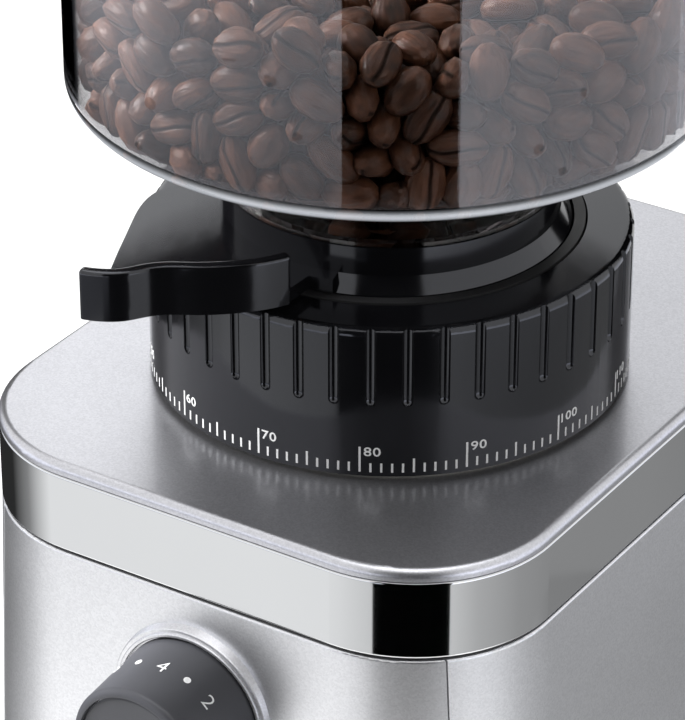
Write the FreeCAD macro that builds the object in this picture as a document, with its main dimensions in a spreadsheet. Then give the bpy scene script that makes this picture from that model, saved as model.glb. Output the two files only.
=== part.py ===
import FreeCAD, Part
import math
import os
import re

import Sketcher

# Burr coffee grinder. Millimetres, +Z up, the feet stand on z = 0.
# Every piece is drawn about the upright burr axis, with the front towards -Y,
# and its Placement then moves it so that the whole object is centred on the origin.

SIZES = {
    # Housing plan at the trim band, and heights down from the cover's face.
    "cover_z": 170,
    "body_width": 120,
    "plan_front": 69,
    "plan_back": 87.6,
    "corner_r": 29.5,
    "draft": 2,
    "wall": 2.6,
    "fit": 0.3,
    "cover_thick": 2.4,
    "cover_round": 1.7,
    "cover_gap": 0.3,
    "band_height": 16.4,
    "ledge_thick": 0.6,
    "ledge_inset": 0.8,
    "frame_wall": 2.4,
    "deck_drop": 32,
    "deck_thick": 3,
    "split_front": 60.7,
    "seam_gap": 0.3,
    "rim_round": 0.5,
    # Underside.
    "foot_height": 4,
    "foot_r": 9,
    "foot_stem_r": 4,
    "foot_inset": 20,
    "base_thick": 3,
    "rib_height": 5,
    "rib_width": 4,
    "rib_x": 24,
    "pillar_r": 3.5,
    "pillar_inset": 4.5,
    "boss_r": 5,
    "boss_height": 20,
    "boss_sink": 1,
    "boss_front_y": 20,
    "boss_rear_y": 30,
    "screw_r": 1.5,
    "screw_head_r": 2.8,
    "screw_head": 2,
    "screw_grip": 10,
    "screw_fit": 0.1,
    # Grind adjusting ring, worked inwards to the chamber tube.
    "ring_r": 47.5,
    "ring_gap": 1,
    "ring_height": 31.4,
    "ring_crown": 0.3,
    "ring_wall": 2.8,
    "ring_top": 3,
    "ring_void": 2.8,
    "shoulder_round": 1.6,
    "flute_count": 43,
    "flute_r": 1.15,
    "flute_depth": 0.8,
    "flute_low": 17.2,
    "flute_turn": -53.8,
    "sleeve_wall": 1.6,
    "sleeve_drop": 9,
    "groove_depth": 1.9,
    "run_fit": 0.4,
    "washer_thick": 0.8,
    "tube_wall": 2.2,
    "lip_proud": 0.3,
    # Grind chamber and burrs.
    "chamber_depth": 49,
    "floor_thick": 4,
    "flange_width": 6.4,
    "flange_thick": 3,
    "window_half": 8,
    "window_height": 9,
    "chute_wall": 1.6,
    "chute_gap": 8,
    "chute_tail": 3.5,
    "burr_r": 20,
    "burr_tip_r": 9,
    "burr_height": 28,
    "burr_gap": 0.9,
    "burr_mesh": 8,
    "outer_burr_height": 23,
    "outer_burr_r": 31,
    "throat_r": 23,
    "burr_flutes": 6,
    "burr_screw_r": 27,
    "burr_grip": 4,
    "bite_r": 3.6,
    "carrier_rim": 4,
    "pin_r": 2.5,
    "pin_drop": 5,
    "pin_cover": 3.6,
    "pin_depth": 5,
    "carrier_travel": 0.75,
    "seat_thick": 2,
    "seat_width": 3.4,
    "sweep_arms": 4,
    "sweep_arm": 3,
    "sweep_lift": 0.6,
    "sweep_plate": 0.9,
    "sweep_lip": 2,
    "sweep_hub_r": 10,
    # Drive.
    "shaft_r": 4,
    "shaft_fit": 0.05,
    "bearing_r": 11,
    "bearing_width": 7,
    "bearing_wall": 3,
    "bearing_lip": 1.5,
    "bearing_proud": 0.5,
    "inner_race": 2.4,
    "outer_race": 2.1,
    "shield_sunk": 0.4,
    "stud_r": 3,
    "stud_proud": 1,
    "bolt_r": 7,
    "bolt_cone": 2,
    "bolt_height": 4,
    "gear_module": 1.5,
    "gear_teeth": 42,
    "pinion_teeth": 14,
    "gear_width": 9,
    "gear_gap": 2,
    "tooth_share": 0.40,
    "addendum": 0.85,
    "dedendum": 1.2,
    "tooth_root": 1.6,
    "flank_lean": 0.36,
    "pinion_proud": 0.5,
    "plate_thick": 4,
    "plate_gap": 3,
    "plate_inset": 1.5,
    "motor_r": 28,
    "motor_length": 76,
    "motor_wall": 2.5,
    "bell_thick": 3,
    "rotor_r": 21.5,
    "rotor_gap": 0.8,
    "rotor_drop": 18,
    "rotor_length": 30,
    "rotor_slots": 12,
    "slot_floor_r": 12,
    "slot_width": 2.4,
    "magnet_angle": 110,
    "winding_height": 8,
    "winding_r": 18,
    "motor_shaft_r": 3,
    "shaft_way_r": 6,
    "shaft_end": 0.5,
    "shaft_proud": 1,
    "commutator_r": 9,
    "commutator_length": 10,
    "brush_width": 6,
    "motor_screw_x": 17,
    # Hopper, shut-off lever and lid.
    "wing_lift": 0.4,
    "wing_thick": 2.8,
    "collar_height": 5.7,
    "hub_height": 17.4,
    "hub_wall": 4.4,
    "hub_flare": 2.2,
    "disc_thick": 2.2,
    "gate_angle": 52,
    "gate_hub_r": 6,
    "gate_margin": 2,
    "shutter_pin": 6,
    "lever_low": 0.3,
    "lever_height": 10.2,
    "lever_thick": 2.4,
    "lever_round": 0.8,
    "hopper_r": 62.5,
    "hopper_wall": 2.5,
    "hopper_rim": 63,
    "hopper_height": 67,
    "hopper_round": 3.5,
    "hopper_floor": 2.5,
    "neck_ridge": 2.6,
    "neck_ridge_height": 0.8,
    "neck_groove": 0.8,
    "lid_thick": 3,
    "lid_round": 1.4,
    "lid_plug": 7,
    "lid_plug_wall": 2.6,
    "lid_fit": 0.6,
    "seal_width": 2.5,
    "seal_proud": 0.3,
    "lid_knob_r": 11,
    "lid_knob_height": 11,
    "lid_stem_r": 7,
    "lid_neck": 5.5,
    "lid_knob_rim": 3.3,
    # Portion dial and start button on the front.
    "knob_drop": 43.9,
    "knob_r": 15.5,
    "knob_front_r": 14.25,
    "knob_length": 19.1,
    "knob_lift": 0.6,
    "knob_wall": 2.2,
    "knob_round": 1.4,
    "knob_hub_r": 7,
    "dial_shaft_r": 3,
    "button_r": 12.4,
    "button_fit": 0.35,
    "button_depth": 8.5,
    "button_thick": 4,
    "button_sunk": 0.5,
    "collar_rise": 1.2,
    "collar_step": 0.5,
    "collar_lip": 1.7,
    "collar_flare": 0.6,
    "collar_fit": 0.4,
    "collar_round": 0.25,
    "switch_half": 13,
    "switch_up": 7,
    "switch_down": 10,
    "switch_gap": 0.8,
    "switch_bore": 9,
    # Grounds container and its bay.
    "bay_half": 35,
    "bay_clear": 3,
    "liner_wall": 2,
    "liner_gap": 3.5,
    "bay_sunk": 0.5,
    "container_fit": 0.6,
    "container_wall": 2,
    "container_drop": 5,
    "container_lid": 2.4,
    "port_r": 11,
    "grip_height": 12,
    "grip_reach": 6,
    "grip_wall": 2.4,
    "grip_lip": 3.6,
    "grip_drop": 6,
    # Wiring side at the back.
    "board_width": 66,
    "board_height": 60,
    "board_low": 34,
    "board_thick": 1.6,
    "board_stand": 7,
    "stand_r": 3,
    "board_edge": 5,
    "part_depth": 7,
    "part_size": 12,
    "gland_z": 22,
    "gland_r": 6,
    "gland_bore_r": 3.6,
    "gland_flange_r": 9.5,
    "gland_flange": 2.2,
    "gland_boss": 1.2,
    "gland_nut": 4,
    "gland_tail": 8,
    "nut_gap": 0.5,
    "vent_count": 6,
    "vent_pitch": 5.5,
    "vent_height": 2.4,
    "vent_half": 22,
    "vent_drop": 10,
    "interlock_half": 10,
    "interlock_gap": 1.2,
    "interlock_depth": 6,
    "interlock_height": 11,
}

DERIVED = {
    "half_w": "body_width / 2",
    "slope": "tan(draft)",
    "cover_under": "cover_z - cover_thick",
    "band_top": "cover_under - cover_gap",
    "band_low": "band_top - band_height",
    "shell_top": "band_low - ledge_thick",
    "frame_inset": "wall + fit",
    "deck_low": "cover_z - deck_drop",
    "deck_top": "deck_low + deck_thick",
    "base_top": "foot_height + base_thick",
    "base_inset": "wall + fit - (shell_top - base_top) * slope",
    "pillar_x": "half_w - wall - pillar_r - fit",
    "pillar_front": "corner_r - plan_front + pillar_inset",
    "pillar_rear": "plan_back - corner_r - pillar_inset",
    "boss_x": "half_w + (shell_top - base_top) * slope - wall - boss_r + boss_sink",
    "foot_x": "half_w - foot_inset",
    "foot_front": "foot_inset - plan_front",
    "foot_rear": "plan_back - foot_inset",
    "ring_low": "cover_z + ring_gap",
    "ring_high": "ring_low + ring_height",
    "ring_in": "ring_r - ring_wall",
    "sleeve_out": "ring_in - ring_void",
    "groove_r": "sleeve_out - sleeve_wall",
    "pin_end": "groove_r - run_fit",
    "sleeve_in": "groove_r - groove_depth",
    "tube_out": "sleeve_in - run_fit",
    "tube_r": "tube_out - tube_wall",
    "lip_top": "ring_high + ring_crown + lip_proud",
    "wing_low": "lip_top + wing_lift",
    "wing_top": "wing_low + wing_thick",
    "hub_top": "wing_top + collar_height",
    "hub_low": "hub_top - hub_height",
    "hub_out": "tube_r - run_fit",
    "hub_in": "hub_out - hub_wall",
    "hub_top_r": "hub_out - hub_flare",
    "disc_low": "hub_low - disc_thick",
    "seat_top": "disc_low - fit",
    "seat_low": "seat_top - seat_thick",
    "pin_z": "seat_low - pin_drop",
    "pin_play": "pin_r + carrier_travel + fit",
    "carrier_top": "pin_z + pin_cover",
    "carrier_out": "tube_r - fit",
    "chamber_low": "cover_z - chamber_depth",
    "chamber_floor": "chamber_low + floor_thick",
    "bearing_low": "chamber_low + bearing_lip",
    "bearing_top": "bearing_low + bearing_width",
    "bearing_hub_r": "bearing_r + bearing_wall",
    "sweep_top": "bearing_top + sweep_lift + floor_thick",
    "burr_low": "sweep_top",
    "burr_top": "burr_low + burr_height",
    "burr_slope": "(burr_r - burr_tip_r) / burr_height",
    "carrier_low": "burr_low + outer_burr_height",
    "flange_r": "tube_out + flange_width",
    "flange_screw_r": "tube_out + flange_width / 2",
    "window_top": "chamber_floor + window_height",
    "chute_back": "tube_out + fit",
    "chute_inner": "chute_back + chute_wall",
    "chute_outer": "chute_inner + chute_gap",
    "chute_front": "chute_outer + chute_wall",
    "gear_high": "chamber_low - gear_gap",
    "gear_low": "gear_high - gear_width",
    "plate_top": "gear_low - plate_gap",
    "plate_low": "plate_top - plate_thick",
    "low_bearing_z": "plate_top + bearing_proud - bearing_width",
    "motor_y": "gear_module * (gear_teeth + pinion_teeth) / 2",
    "motor_low": "plate_low - motor_length",
    "motor_in": "motor_r - motor_wall",
    "rotor_top": "plate_low - rotor_drop",
    "rotor_low": "rotor_top - rotor_length",
    "liner_top": "plate_low - liner_gap",
    "bay_top": "liner_top - liner_wall",
    "liner_low": "base_top + rib_height",
    "bay_low": "liner_low + liner_wall",
    "bay_back": "motor_y - motor_r - bay_clear - liner_wall",
    "chute_low": "bay_top - chute_tail / 2",
    "container_half": "bay_half - container_fit",
    "container_low": "bay_low + fit",
    "container_top": "bay_top - container_drop",
    "container_back": "bay_back - container_fit",
    "knob_z": "cover_z - knob_drop",
    "panel_y": "plan_front + (shell_top - knob_z) * slope",
    "panel_in": "panel_y - wall - switch_up * slope",
    "collar_in": "knob_r + collar_fit",
    "knob_back": "panel_y + knob_lift",
    "front_reach": "knob_back + knob_length",
    "gland_y": "plan_back + (shell_top - gland_z) * slope",
    "gland_seat": "gland_y + gland_boss",
    "back_reach": "gland_seat + gland_flange",
    "axis_y": "(front_reach - back_reach) / 2",
    "board_y": "plan_back + (shell_top - board_low - board_height) * slope - wall - board_stand",
    "funnel_z": "hub_top + fit + neck_ridge_height + neck_ridge - neck_groove",
    "neck_out": "hub_in - run_fit",
    "neck_r": "neck_out - hopper_wall",
    "neck_low": "hub_low + run_fit",
    "neck_floor": "neck_low + hopper_floor",
    "ridge_r": "neck_out + neck_ridge",
    "throat_groove": "neck_out + neck_groove",
    "rim_z": "cover_z + hopper_rim",
    "funnel_slope": "(rim_z - funnel_z) / (hopper_r - throat_groove)",
    "funnel_lift": "hopper_wall * sqrt(1 + funnel_slope * funnel_slope)",
    "hopper_top": "rim_z + hopper_height",
    "hopper_in": "hopper_r - hopper_wall",
    "gate_r": "neck_r - gate_margin",
    "lid_low": "hopper_top + fit",
    "lid_high": "lid_low + lid_thick",
    "lid_top": "lid_high + lid_knob_height",
    "plug_r": "hopper_in - lid_fit",
}

# Positions closer than this count as the same, and volumes as unchanged.
NEAR = 1e-4

# Carrier pins, burr screws and bean gates come in threes, flange screws in fours.
TRIO_COUNT = 3
QUAD_COUNT = 4

# Where such sets begin, in degrees round the burr axis from +X.
REAR_TURN = 90
FLANGE_TURN = 45
SHUTTER_TURN = 30

doc = FreeCAD.newDocument("coffee_grinder")
sizes = doc.addObject("Spreadsheet::Sheet", "Sizes")
derived = doc.addObject("Spreadsheet::Sheet", "Derived")
nodes = []


def link(text):
    """Turn the plain names in a formula into spreadsheet references."""
    def reference(match):
        word = match.group(0)
        if word in SIZES:
            return "Sizes." + word
        if word in DERIVED:
            return "Derived." + word
        return word
    return re.sub(r"[a-z_]+[a-z0-9_]*", reference, str(text))


def fill_sheets():
    for row, (name, value) in enumerate(SIZES.items(), 1):
        sizes.set(f"A{row}", name)
        sizes.set(f"B{row}", str(value))
        sizes.setAlias(f"B{row}", name)
    doc.recompute()
    for row, (name, formula) in enumerate(DERIVED.items(), 1):
        derived.set(f"A{row}", name)
        derived.set(f"B{row}", "=" + link(formula))
        derived.setAlias(f"B{row}", name)
    doc.recompute()


def number(text):
    return float(sizes.evalExpression(link(text)))


def bind(thing, formulas):
    for name, formula in formulas.items():
        thing.setExpression(name, link(formula))


def body(label):
    piece = doc.addObject("PartDesign::Body", label)
    piece.Label = label
    bind(piece, {"Placement.Base.y": "axis_y"})
    nodes.append(piece)
    return piece


def dial_body(label):
    """A body drawn about its own Z, which points out of the front panel at the dial."""
    piece = doc.addObject("PartDesign::Body", label)
    piece.Label = label
    piece.Placement = FreeCAD.Placement(FreeCAD.Vector(), TOWARDS["-Y"])
    bind(piece, {"Placement.Base.y": "axis_y - knob_back", "Placement.Base.z": "knob_z"})
    nodes.append(piece)
    return piece


def origin_part(piece, role):
    return next(f for f in piece.Origin.OriginFeatures if f.Role == role)


def arc_edge(start, end, radius, side):
    """Circular arc from start to end, its centre on the left (side 1) or right (side -1)."""
    chord = end - start
    middle = (start + end) * 0.5
    normal = FreeCAD.Vector(-chord.y, chord.x, 0).normalize()
    reach = math.sqrt(max(radius ** 2 - chord.Length ** 2 / 4, 0))
    centre = middle + normal * (side * reach)
    first = math.atan2(start.y - centre.y, start.x - centre.x)
    last = math.atan2(end.y - centre.y, end.x - centre.x)
    circle = Part.Circle(centre, FreeCAD.Vector(0, 0, 1), radius)
    if side > 0:
        return Part.ArcOfCircle(circle, first, last), (1, 2)
    return Part.ArcOfCircle(circle, last, first), (2, 1)


def sketch(piece, plane, points, offset="0"):
    """Closed outline of (x, y) points; (x, y, radius, side) starts an arc to the next point."""
    profile = piece.newObject("Sketcher::SketchObject", "Sketch")
    profile.AttachmentSupport = (origin_part(piece, plane), [""])
    profile.MapMode = "FlatFace"
    bind(profile, {"AttachmentOffset.Base.z": offset})
    places = [FreeCAD.Vector(number(p[0]), number(p[1]), 0) for p in points]
    edges = []
    ends = []
    for index, point in enumerate(points):
        start = places[index]
        end = places[(index + 1) % len(points)]
        if len(point) == 4:
            edge, order = arc_edge(start, end, number(point[2]), point[3])
        else:
            edge, order = Part.LineSegment(start, end), (1, 2)
        edges.append(edge)
        ends.append(order)
    profile.addGeometry(edges)
    rules = []
    formulas = []
    for index, point in enumerate(points):
        following = (index + 1) % len(points)
        first, last = ends[following][0], ends[index][1]
        rules.append(Sketcher.Constraint("Coincident", index, last, following, first))
        formulas.append(None)
        for kind, formula, value in (("DistanceX", point[0], places[index].x),
                                     ("DistanceY", point[1], places[index].y)):
            rules.append(Sketcher.Constraint(kind, -1, 1, index, ends[index][0], value))
            formulas.append(formula)
        if len(point) == 4:
            rules.append(Sketcher.Constraint("Radius", index, number(point[2])))
            formulas.append(point[2])
    profile.addConstraint(rules)
    for index, formula in enumerate(formulas):
        if formula is not None:
            bind(profile, {f"Constraints[{index}]": formula})
    doc.recompute()
    return profile


def plan(piece, inset, height):
    """The housing's rounded plan, moved inwards by inset, at the given height."""
    right = f"half_w - ({inset})"
    left = f"({inset}) - half_w"
    front = f"({inset}) - plan_front"
    back = f"plan_back - ({inset})"
    radius = f"corner_r - ({inset})"
    points = [
        (f"{left} + {radius}", front),
        (f"{right} - ({radius})", front, radius, 1),
        (right, f"{front} + {radius}"),
        (right, f"{back} - ({radius})", radius, 1),
        (f"{right} - ({radius})", back),
        (f"{left} + {radius}", back, radius, 1),
        (left, f"{back} - ({radius})"),
        (left, f"{front} + {radius}", radius, 1),
    ]
    return sketch(piece, "XY_Plane", points, height)


def volume(piece):
    return 0 if piece.Shape.isNull() else piece.Shape.Volume


def must_change(piece, before, feature):
    """A cut that misses its piece leaves the volume as it was."""
    doc.recompute()
    if abs(volume(piece) - before) < NEAR:
        raise RuntimeError(f"{piece.Label}: {feature.Name} changes nothing")
    return feature


def add_feature(piece, kind, formulas, **settings):
    before = volume(piece)
    feature = piece.newObject("PartDesign::" + kind, kind)
    for name, value in settings.items():
        setattr(feature, name, value)
    bind(feature, formulas)
    return must_change(piece, before, feature)


def pad(piece, profile, length, **settings):
    return add_feature(piece, "Pad", {"Length": length}, Profile=profile, **settings)


def pocket(piece, profile, length, **settings):
    return add_feature(piece, "Pocket", {"Length": length}, Profile=profile, **settings)


def turned(piece, points):
    """Full turn of a (radius, height) outline about the body's Z axis."""
    profile = sketch(piece, "XZ_Plane", points)
    axis = (profile, ["V_Axis"])
    return add_feature(piece, "Revolution", {}, Profile=profile, ReferenceAxis=axis, Angle=360)


def at(x, y, z):
    return {"Placement.Base.x": x, "Placement.Base.y": y, "Placement.Base.z": z}


TOWARDS = {
    "+Z": FreeCAD.Rotation(),
    "-Y": FreeCAD.Rotation(FreeCAD.Vector(1, 0, 0), 90),
    "+Y": FreeCAD.Rotation(FreeCAD.Vector(1, 0, 0), -90),
    "+X": FreeCAD.Rotation(FreeCAD.Vector(0, 1, 0), 90),
}


def cylinder(piece, place, radius, height, sign="Additive", towards="+Z", **settings):
    formulas = {"Radius": radius, "Height": height, **at(*place)}
    placement = FreeCAD.Placement(FreeCAD.Vector(), TOWARDS[towards])
    return add_feature(piece, sign + "Cylinder", formulas, Placement=placement, **settings)


def hole(piece, place, radius, height, towards="+Z", **settings):
    return cylinder(piece, place, radius, height, "Subtractive", towards, **settings)


def block(piece, low, high, sign="Additive"):
    formulas = at(*low)
    for name, first, last in zip(("Length", "Width", "Height"), low, high):
        formulas[name] = f"{last} - ({first})"
    return add_feature(piece, sign + "Box", formulas)


def cavity(piece, low, high):
    return block(piece, low, high, "Subtractive")


def around(piece, features, count):
    """Repeat features evenly about the body's Z axis."""
    before = volume(piece)
    pattern = piece.newObject("PartDesign::PolarPattern", "PolarPattern")
    pattern.Originals = features
    pattern.Axis = (origin_part(piece, "Z_Axis"), [""])
    pattern.Angle = 360
    bind(pattern, {"Occurrences": count})
    piece.Tip = pattern
    return must_change(piece, before, pattern)


def along(piece, feature, axis, step, count):
    """Repeat a feature in a straight row."""
    before = volume(piece)
    pattern = piece.newObject("PartDesign::LinearPattern", "LinearPattern")
    pattern.Originals = [feature]
    pattern.Direction = (origin_part(piece, axis), [""])
    bind(pattern, {"Length": f"({step}) * (({count}) - 1)", "Occurrences": count})
    piece.Tip = pattern
    return must_change(piece, before, pattern)


def soften(piece, radius, chosen):
    """Round the edges of the piece that the test picks."""
    names = [f"Edge{index}" for index, edge in enumerate(piece.Tip.Shape.Edges, 1) if chosen(edge)]
    return add_feature(piece, "Fillet", {"Radius": radius}, Base=(piece.Tip, names))


def level(edge, height):
    """True where an edge lies flat at a height."""
    box = edge.BoundBox
    target = number(height)
    return abs(box.ZMin - target) < NEAR and abs(box.ZMax - target) < NEAR


def circle_at(edge, radius, height):
    return level(edge, height) and isinstance(edge.Curve, Part.Circle) and \
        abs(edge.Curve.Radius - number(radius)) < NEAR


def rod(place, radius, height, towards="+Z"):
    """One plain cylinder for a group of identical pieces."""
    shape = doc.addObject("Part::Cylinder", "Rod")
    shape.Placement = FreeCAD.Placement(FreeCAD.Vector(), TOWARDS[towards])
    bind(shape, {"Radius": radius, "Height": height, **at(*place)})
    return shape


def brick(low, high):
    shape = doc.addObject("Part::Box", "Brick")
    formulas = at(*low)
    for name, first, last in zip(("Length", "Width", "Height"), low, high):
        formulas[name] = f"{last} - ({first})"
    bind(shape, formulas)
    return shape


def group(label, shapes, holes=()):
    """Several separate solids that share one node."""
    whole = doc.addObject("Part::MultiFuse", label)
    whole.Shapes = shapes
    if holes:
        drills = doc.addObject("Part::MultiFuse", "Drills")
        drills.Shapes = holes
        drilled = doc.addObject("Part::Cut", label)
        drilled.Base = whole
        drilled.Tool = drills
        whole.Label = label + "_solid"
        whole = drilled
    whole.Label = label
    bind(whole, {"Placement.Base.y": "axis_y"})
    nodes.append(whole)
    doc.recompute()
    return whole


def screws(label, places, seat, length, up):
    """Pan-head screws whose heads lie on the height seat and whose shanks go up or down."""
    shapes = []
    for x, y in places:
        head = f"{seat} - screw_head" if up else seat
        shank = seat if up else f"{seat} - ({length})"
        shapes.append(rod((x, y, head), "screw_head_r", "screw_head"))
        shapes.append(rod((x, y, shank), "screw_r", length))
    return group(label, shapes)


def ring_of(radius, count, turn=0):
    """Places on a circle about the burr axis."""
    for index in range(count):
        angle = turn + 360 * index / count
        yield f"({radius}) * cos({angle})", f"({radius}) * sin({angle})"


def corners(x, front, rear):
    return [(side + x, y) for side in ("-", "") for y in (front, rear)]


PILLARS = corners("pillar_x", "pillar_front", "pillar_rear")
BOSSES = corners("boss_x", "-boss_front_y", "boss_rear_y")
FEET = corners("foot_x", "foot_front", "foot_rear")
MOTOR_SCREWS = [("-motor_screw_x", "motor_y"), ("motor_screw_x", "motor_y")]
FLANGE_SCREWS = list(ring_of("flange_screw_r", QUAD_COUNT, FLANGE_TURN))
BURR_SCREWS = list(ring_of("burr_screw_r", TRIO_COUNT, REAR_TURN))
SHUTTER_PINS = list(ring_of("hub_in + hub_wall / 2", TRIO_COUNT, SHUTTER_TURN))


def shell(piece):
    """Drafted housing wall, open above and below."""
    height = "shell_top - foot_height"
    taper = number("draft")
    outside = pad(piece, plan(piece, "0", "shell_top"), height, Reversed=True, TaperAngle=taper)
    bind(outside, {"TaperAngle": "draft"})
    inside = pocket(piece, plan(piece, "wall", "shell_top"), height, TaperAngle=taper)
    bind(inside, {"TaperAngle": "draft"})
    doc.recompute()
    soften(piece, "rim_round", lambda edge: level(edge, "shell_top") and on_outside(edge))


def on_outside(edge):
    """True where an edge of the rim follows the outer plan rather than the inner one."""
    middle = edge.valueAt((edge.FirstParameter + edge.LastParameter) / 2)
    reach = number("wall") / 2
    inner_x = number("half_w") - reach
    inner_front = reach - number("plan_front")
    inner_back = number("plan_back") - reach
    turn_x = number("half_w - corner_r")
    turn_front = number("corner_r - plan_front")
    turn_back = number("plan_back - corner_r")
    beyond_x = max(abs(middle.x) - turn_x, 0)
    beyond_y = max(turn_front - middle.y, middle.y - turn_back, 0)
    if beyond_x > NEAR and beyond_y > NEAR:
        return math.hypot(beyond_x, beyond_y) > number("corner_r") - reach
    return abs(middle.x) > inner_x or middle.y < inner_front or middle.y > inner_back


def on_collar_lip(edge):
    """True for the two round edges of the collar's front face and the outer one of its step."""
    box = edge.BoundBox
    step = -number("panel_y + collar_rise")
    outermost = box.XLength > number("collar_in + collar_lip") * 2 - NEAR
    on_front = abs(box.YMax - step + number("collar_step")) < NEAR
    on_step = abs(box.YMax - step) < NEAR and outermost
    return box.YLength < NEAR and (on_front or on_step)


def front_shell():
    piece = body("front_shell")
    shell(piece)
    reach = "body_width + plan_back"
    cavity(piece, (f"-({reach})", "-(split_front + seam_gap / 2)", "0"),
           (reach, reach, "cover_z"))
    lip = "collar_in + collar_lip"
    root = ("0", "wall / 2 - panel_y", "knob_z")
    cone = {
        "Radius1": f"{lip} + collar_flare",
        "Radius2": lip,
        "Height": "collar_rise + wall / 2",
        **at(*root),
    }
    placement = FreeCAD.Placement(FreeCAD.Vector(), TOWARDS["-Y"])
    add_feature(piece, "AdditiveCone", cone, Placement=placement)
    inner_ring = "collar_in + collar_lip / 2"
    cylinder(piece, root, inner_ring, "collar_rise + collar_step + wall / 2", "Additive", "-Y")
    hole(piece, ("0", "-panel_y", "knob_z"), "collar_in", "collar_rise + wall", "-Y")
    hole(piece, ("0", "0", "knob_z"), "dial_shaft_r + run_fit", "plan_front + body_width", "-Y")
    soften(piece, "collar_round", on_collar_lip)
    edge_half = "bay_half + liner_wall + fit"
    cavity(piece, (f"-({edge_half})", f"-({reach})", "liner_low - fit"),
           (edge_half, "0", "liner_top + fit"))


def rear_shell():
    piece = body("rear_shell")
    shell(piece)
    reach = "body_width + plan_back"
    cavity(piece, (f"-({reach})", f"-({reach})", "0"),
           (reach, "seam_gap / 2 - split_front", "cover_z"))
    for x, y in BOSSES:
        cylinder(piece, (x, y, "base_top"), "boss_r", "boss_height")
        hole(piece, (x, y, "base_top"), "screw_r + screw_fit", "screw_grip + screw_fit")
    seat = ("0", "gland_seat", "gland_z")
    cylinder(piece, seat, "gland_flange_r + fit", "gland_boss + wall", "Additive", "-Y")
    hole(piece, seat, "gland_r + screw_fit", "gland_boss + wall + gland_tail", "-Y")
    for x in ("-board_width / 2 + board_edge", "board_width / 2 - board_edge"):
        for z in ("board_low + board_edge", "board_low + board_height - board_edge"):
            depth = f"plan_back + (shell_top - ({z})) * slope - wall / 2 - board_y"
            cylinder(piece, (x, "board_y", z), "stand_r", depth, "Additive", "+Y")
    low = "shell_top - vent_drop - vent_height - vent_pitch * (vent_count - 1)"
    slot = cavity(piece, ("-vent_half", "plan_back - wall * 2", low),
                  ("vent_half", reach, f"{low} + vent_height"))
    along(piece, slot, "Z_Axis", "vent_pitch", "vent_count")


def top_frame():
    piece = body("top_frame")
    pad(piece, plan(piece, "frame_inset", "deck_low"), "cover_under - deck_low")
    pocket(piece, plan(piece, "frame_inset + frame_wall", "cover_under"), "cover_under - deck_top")
    pad(piece, plan(piece, "ledge_inset", "shell_top"), "ledge_thick")
    pocket(piece, plan(piece, "frame_inset + frame_wall", "cover_under"), "cover_under - deck_top")
    hole(piece, ("0", "0", "0"), "tube_out + fit", "cover_z")


def chrome_band():
    piece = body("chrome_band")
    pad(piece, plan(piece, "0", "band_low"), "band_height")
    pocket(piece, plan(piece, "wall", "band_top"), "band_height")
    for height in ("band_top", "band_low"):
        soften(piece, "rim_round", lambda edge: level(edge, height) and on_outside(edge))


def top_cover():
    piece = body("top_cover")
    pad(piece, plan(piece, "0", "cover_under"), "cover_thick")
    soften(piece, "cover_round", lambda edge: level(edge, "cover_z"))
    hole(piece, ("0", "0", "0"), "tube_out + fit", "cover_z + cover_thick")


def base_plate():
    piece = body("base_plate")
    pad(piece, plan(piece, "base_inset", "foot_height"), "base_thick")
    for side in ("-", ""):
        block(piece, (f"{side}rib_x - rib_width / 2", "foot_front", "foot_height + base_thick / 2"),
              (f"{side}rib_x + rib_width / 2", "bay_back", "liner_low"))
    for x, y in FEET:
        hole(piece, (x, y, "0"), "foot_stem_r + screw_fit", "base_top")
    for x, y in PILLARS + BOSSES:
        hole(piece, (x, y, "0"), "screw_r + screw_fit", "base_top")


def underside():
    shapes = []
    for x, y in FEET:
        shapes.append(rod((x, y, "0"), "foot_r", "foot_height"))
        shapes.append(rod((x, y, "foot_height"), "foot_stem_r", "base_thick"))
    group("rubber_feet", shapes)
    grip = "base_thick + screw_grip - screw_fit"
    screws("base_screws", PILLARS + BOSSES, "foot_height", grip, True)
    posts = []
    drills = []
    for x, y in PILLARS:
        posts.append(rod((x, y, "base_top"), "pillar_r", "plate_low - base_top"))
        drills.append(rod((x, y, "base_top"), "screw_r + screw_fit", "screw_grip"))
        drills.append(rod((x, y, "plate_low - screw_grip"), "screw_r + screw_fit", "screw_grip"))
    group("support_pillars", posts, drills)


def front_line(height, sunk):
    """Distance of the drafted front face from the burr axis at a height."""
    return f"-(plan_front + (shell_top - ({height})) * slope - ({sunk}))"


def drafted_box(piece, low, high, back, sunk, half):
    """Box with a flat back and a front that leans with the housing."""
    points = [(front_line(low, sunk), low), (back, low), (back, high), (front_line(high, sunk), high)]
    return pad(piece, sketch(piece, "YZ_Plane", points), f"({half}) * 2", SideType="Symmetric")


def drafted_cavity(piece, low, high, back, sunk, half):
    points = [(front_line(low, sunk), low), (back, low), (back, high), (front_line(high, sunk), high)]
    return pocket(piece, sketch(piece, "YZ_Plane", points), f"({half}) * 2", SideType="Symmetric")


def bay_liner():
    piece = body("bay_liner")
    drafted_box(piece, "liner_low", "liner_top", "bay_back + liner_wall", "bay_sunk", "bay_half + liner_wall")
    drafted_cavity(piece, "bay_low", "bay_top", "bay_back", "-wall", "bay_half")
    side = "window_half + chute_wall + fit"
    cavity(piece, (f"-({side})", "-(chute_front + fit)", "bay_top - liner_wall"),
           (side, "fit - tube_out + window_half", "liner_top + liner_wall"))


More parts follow.
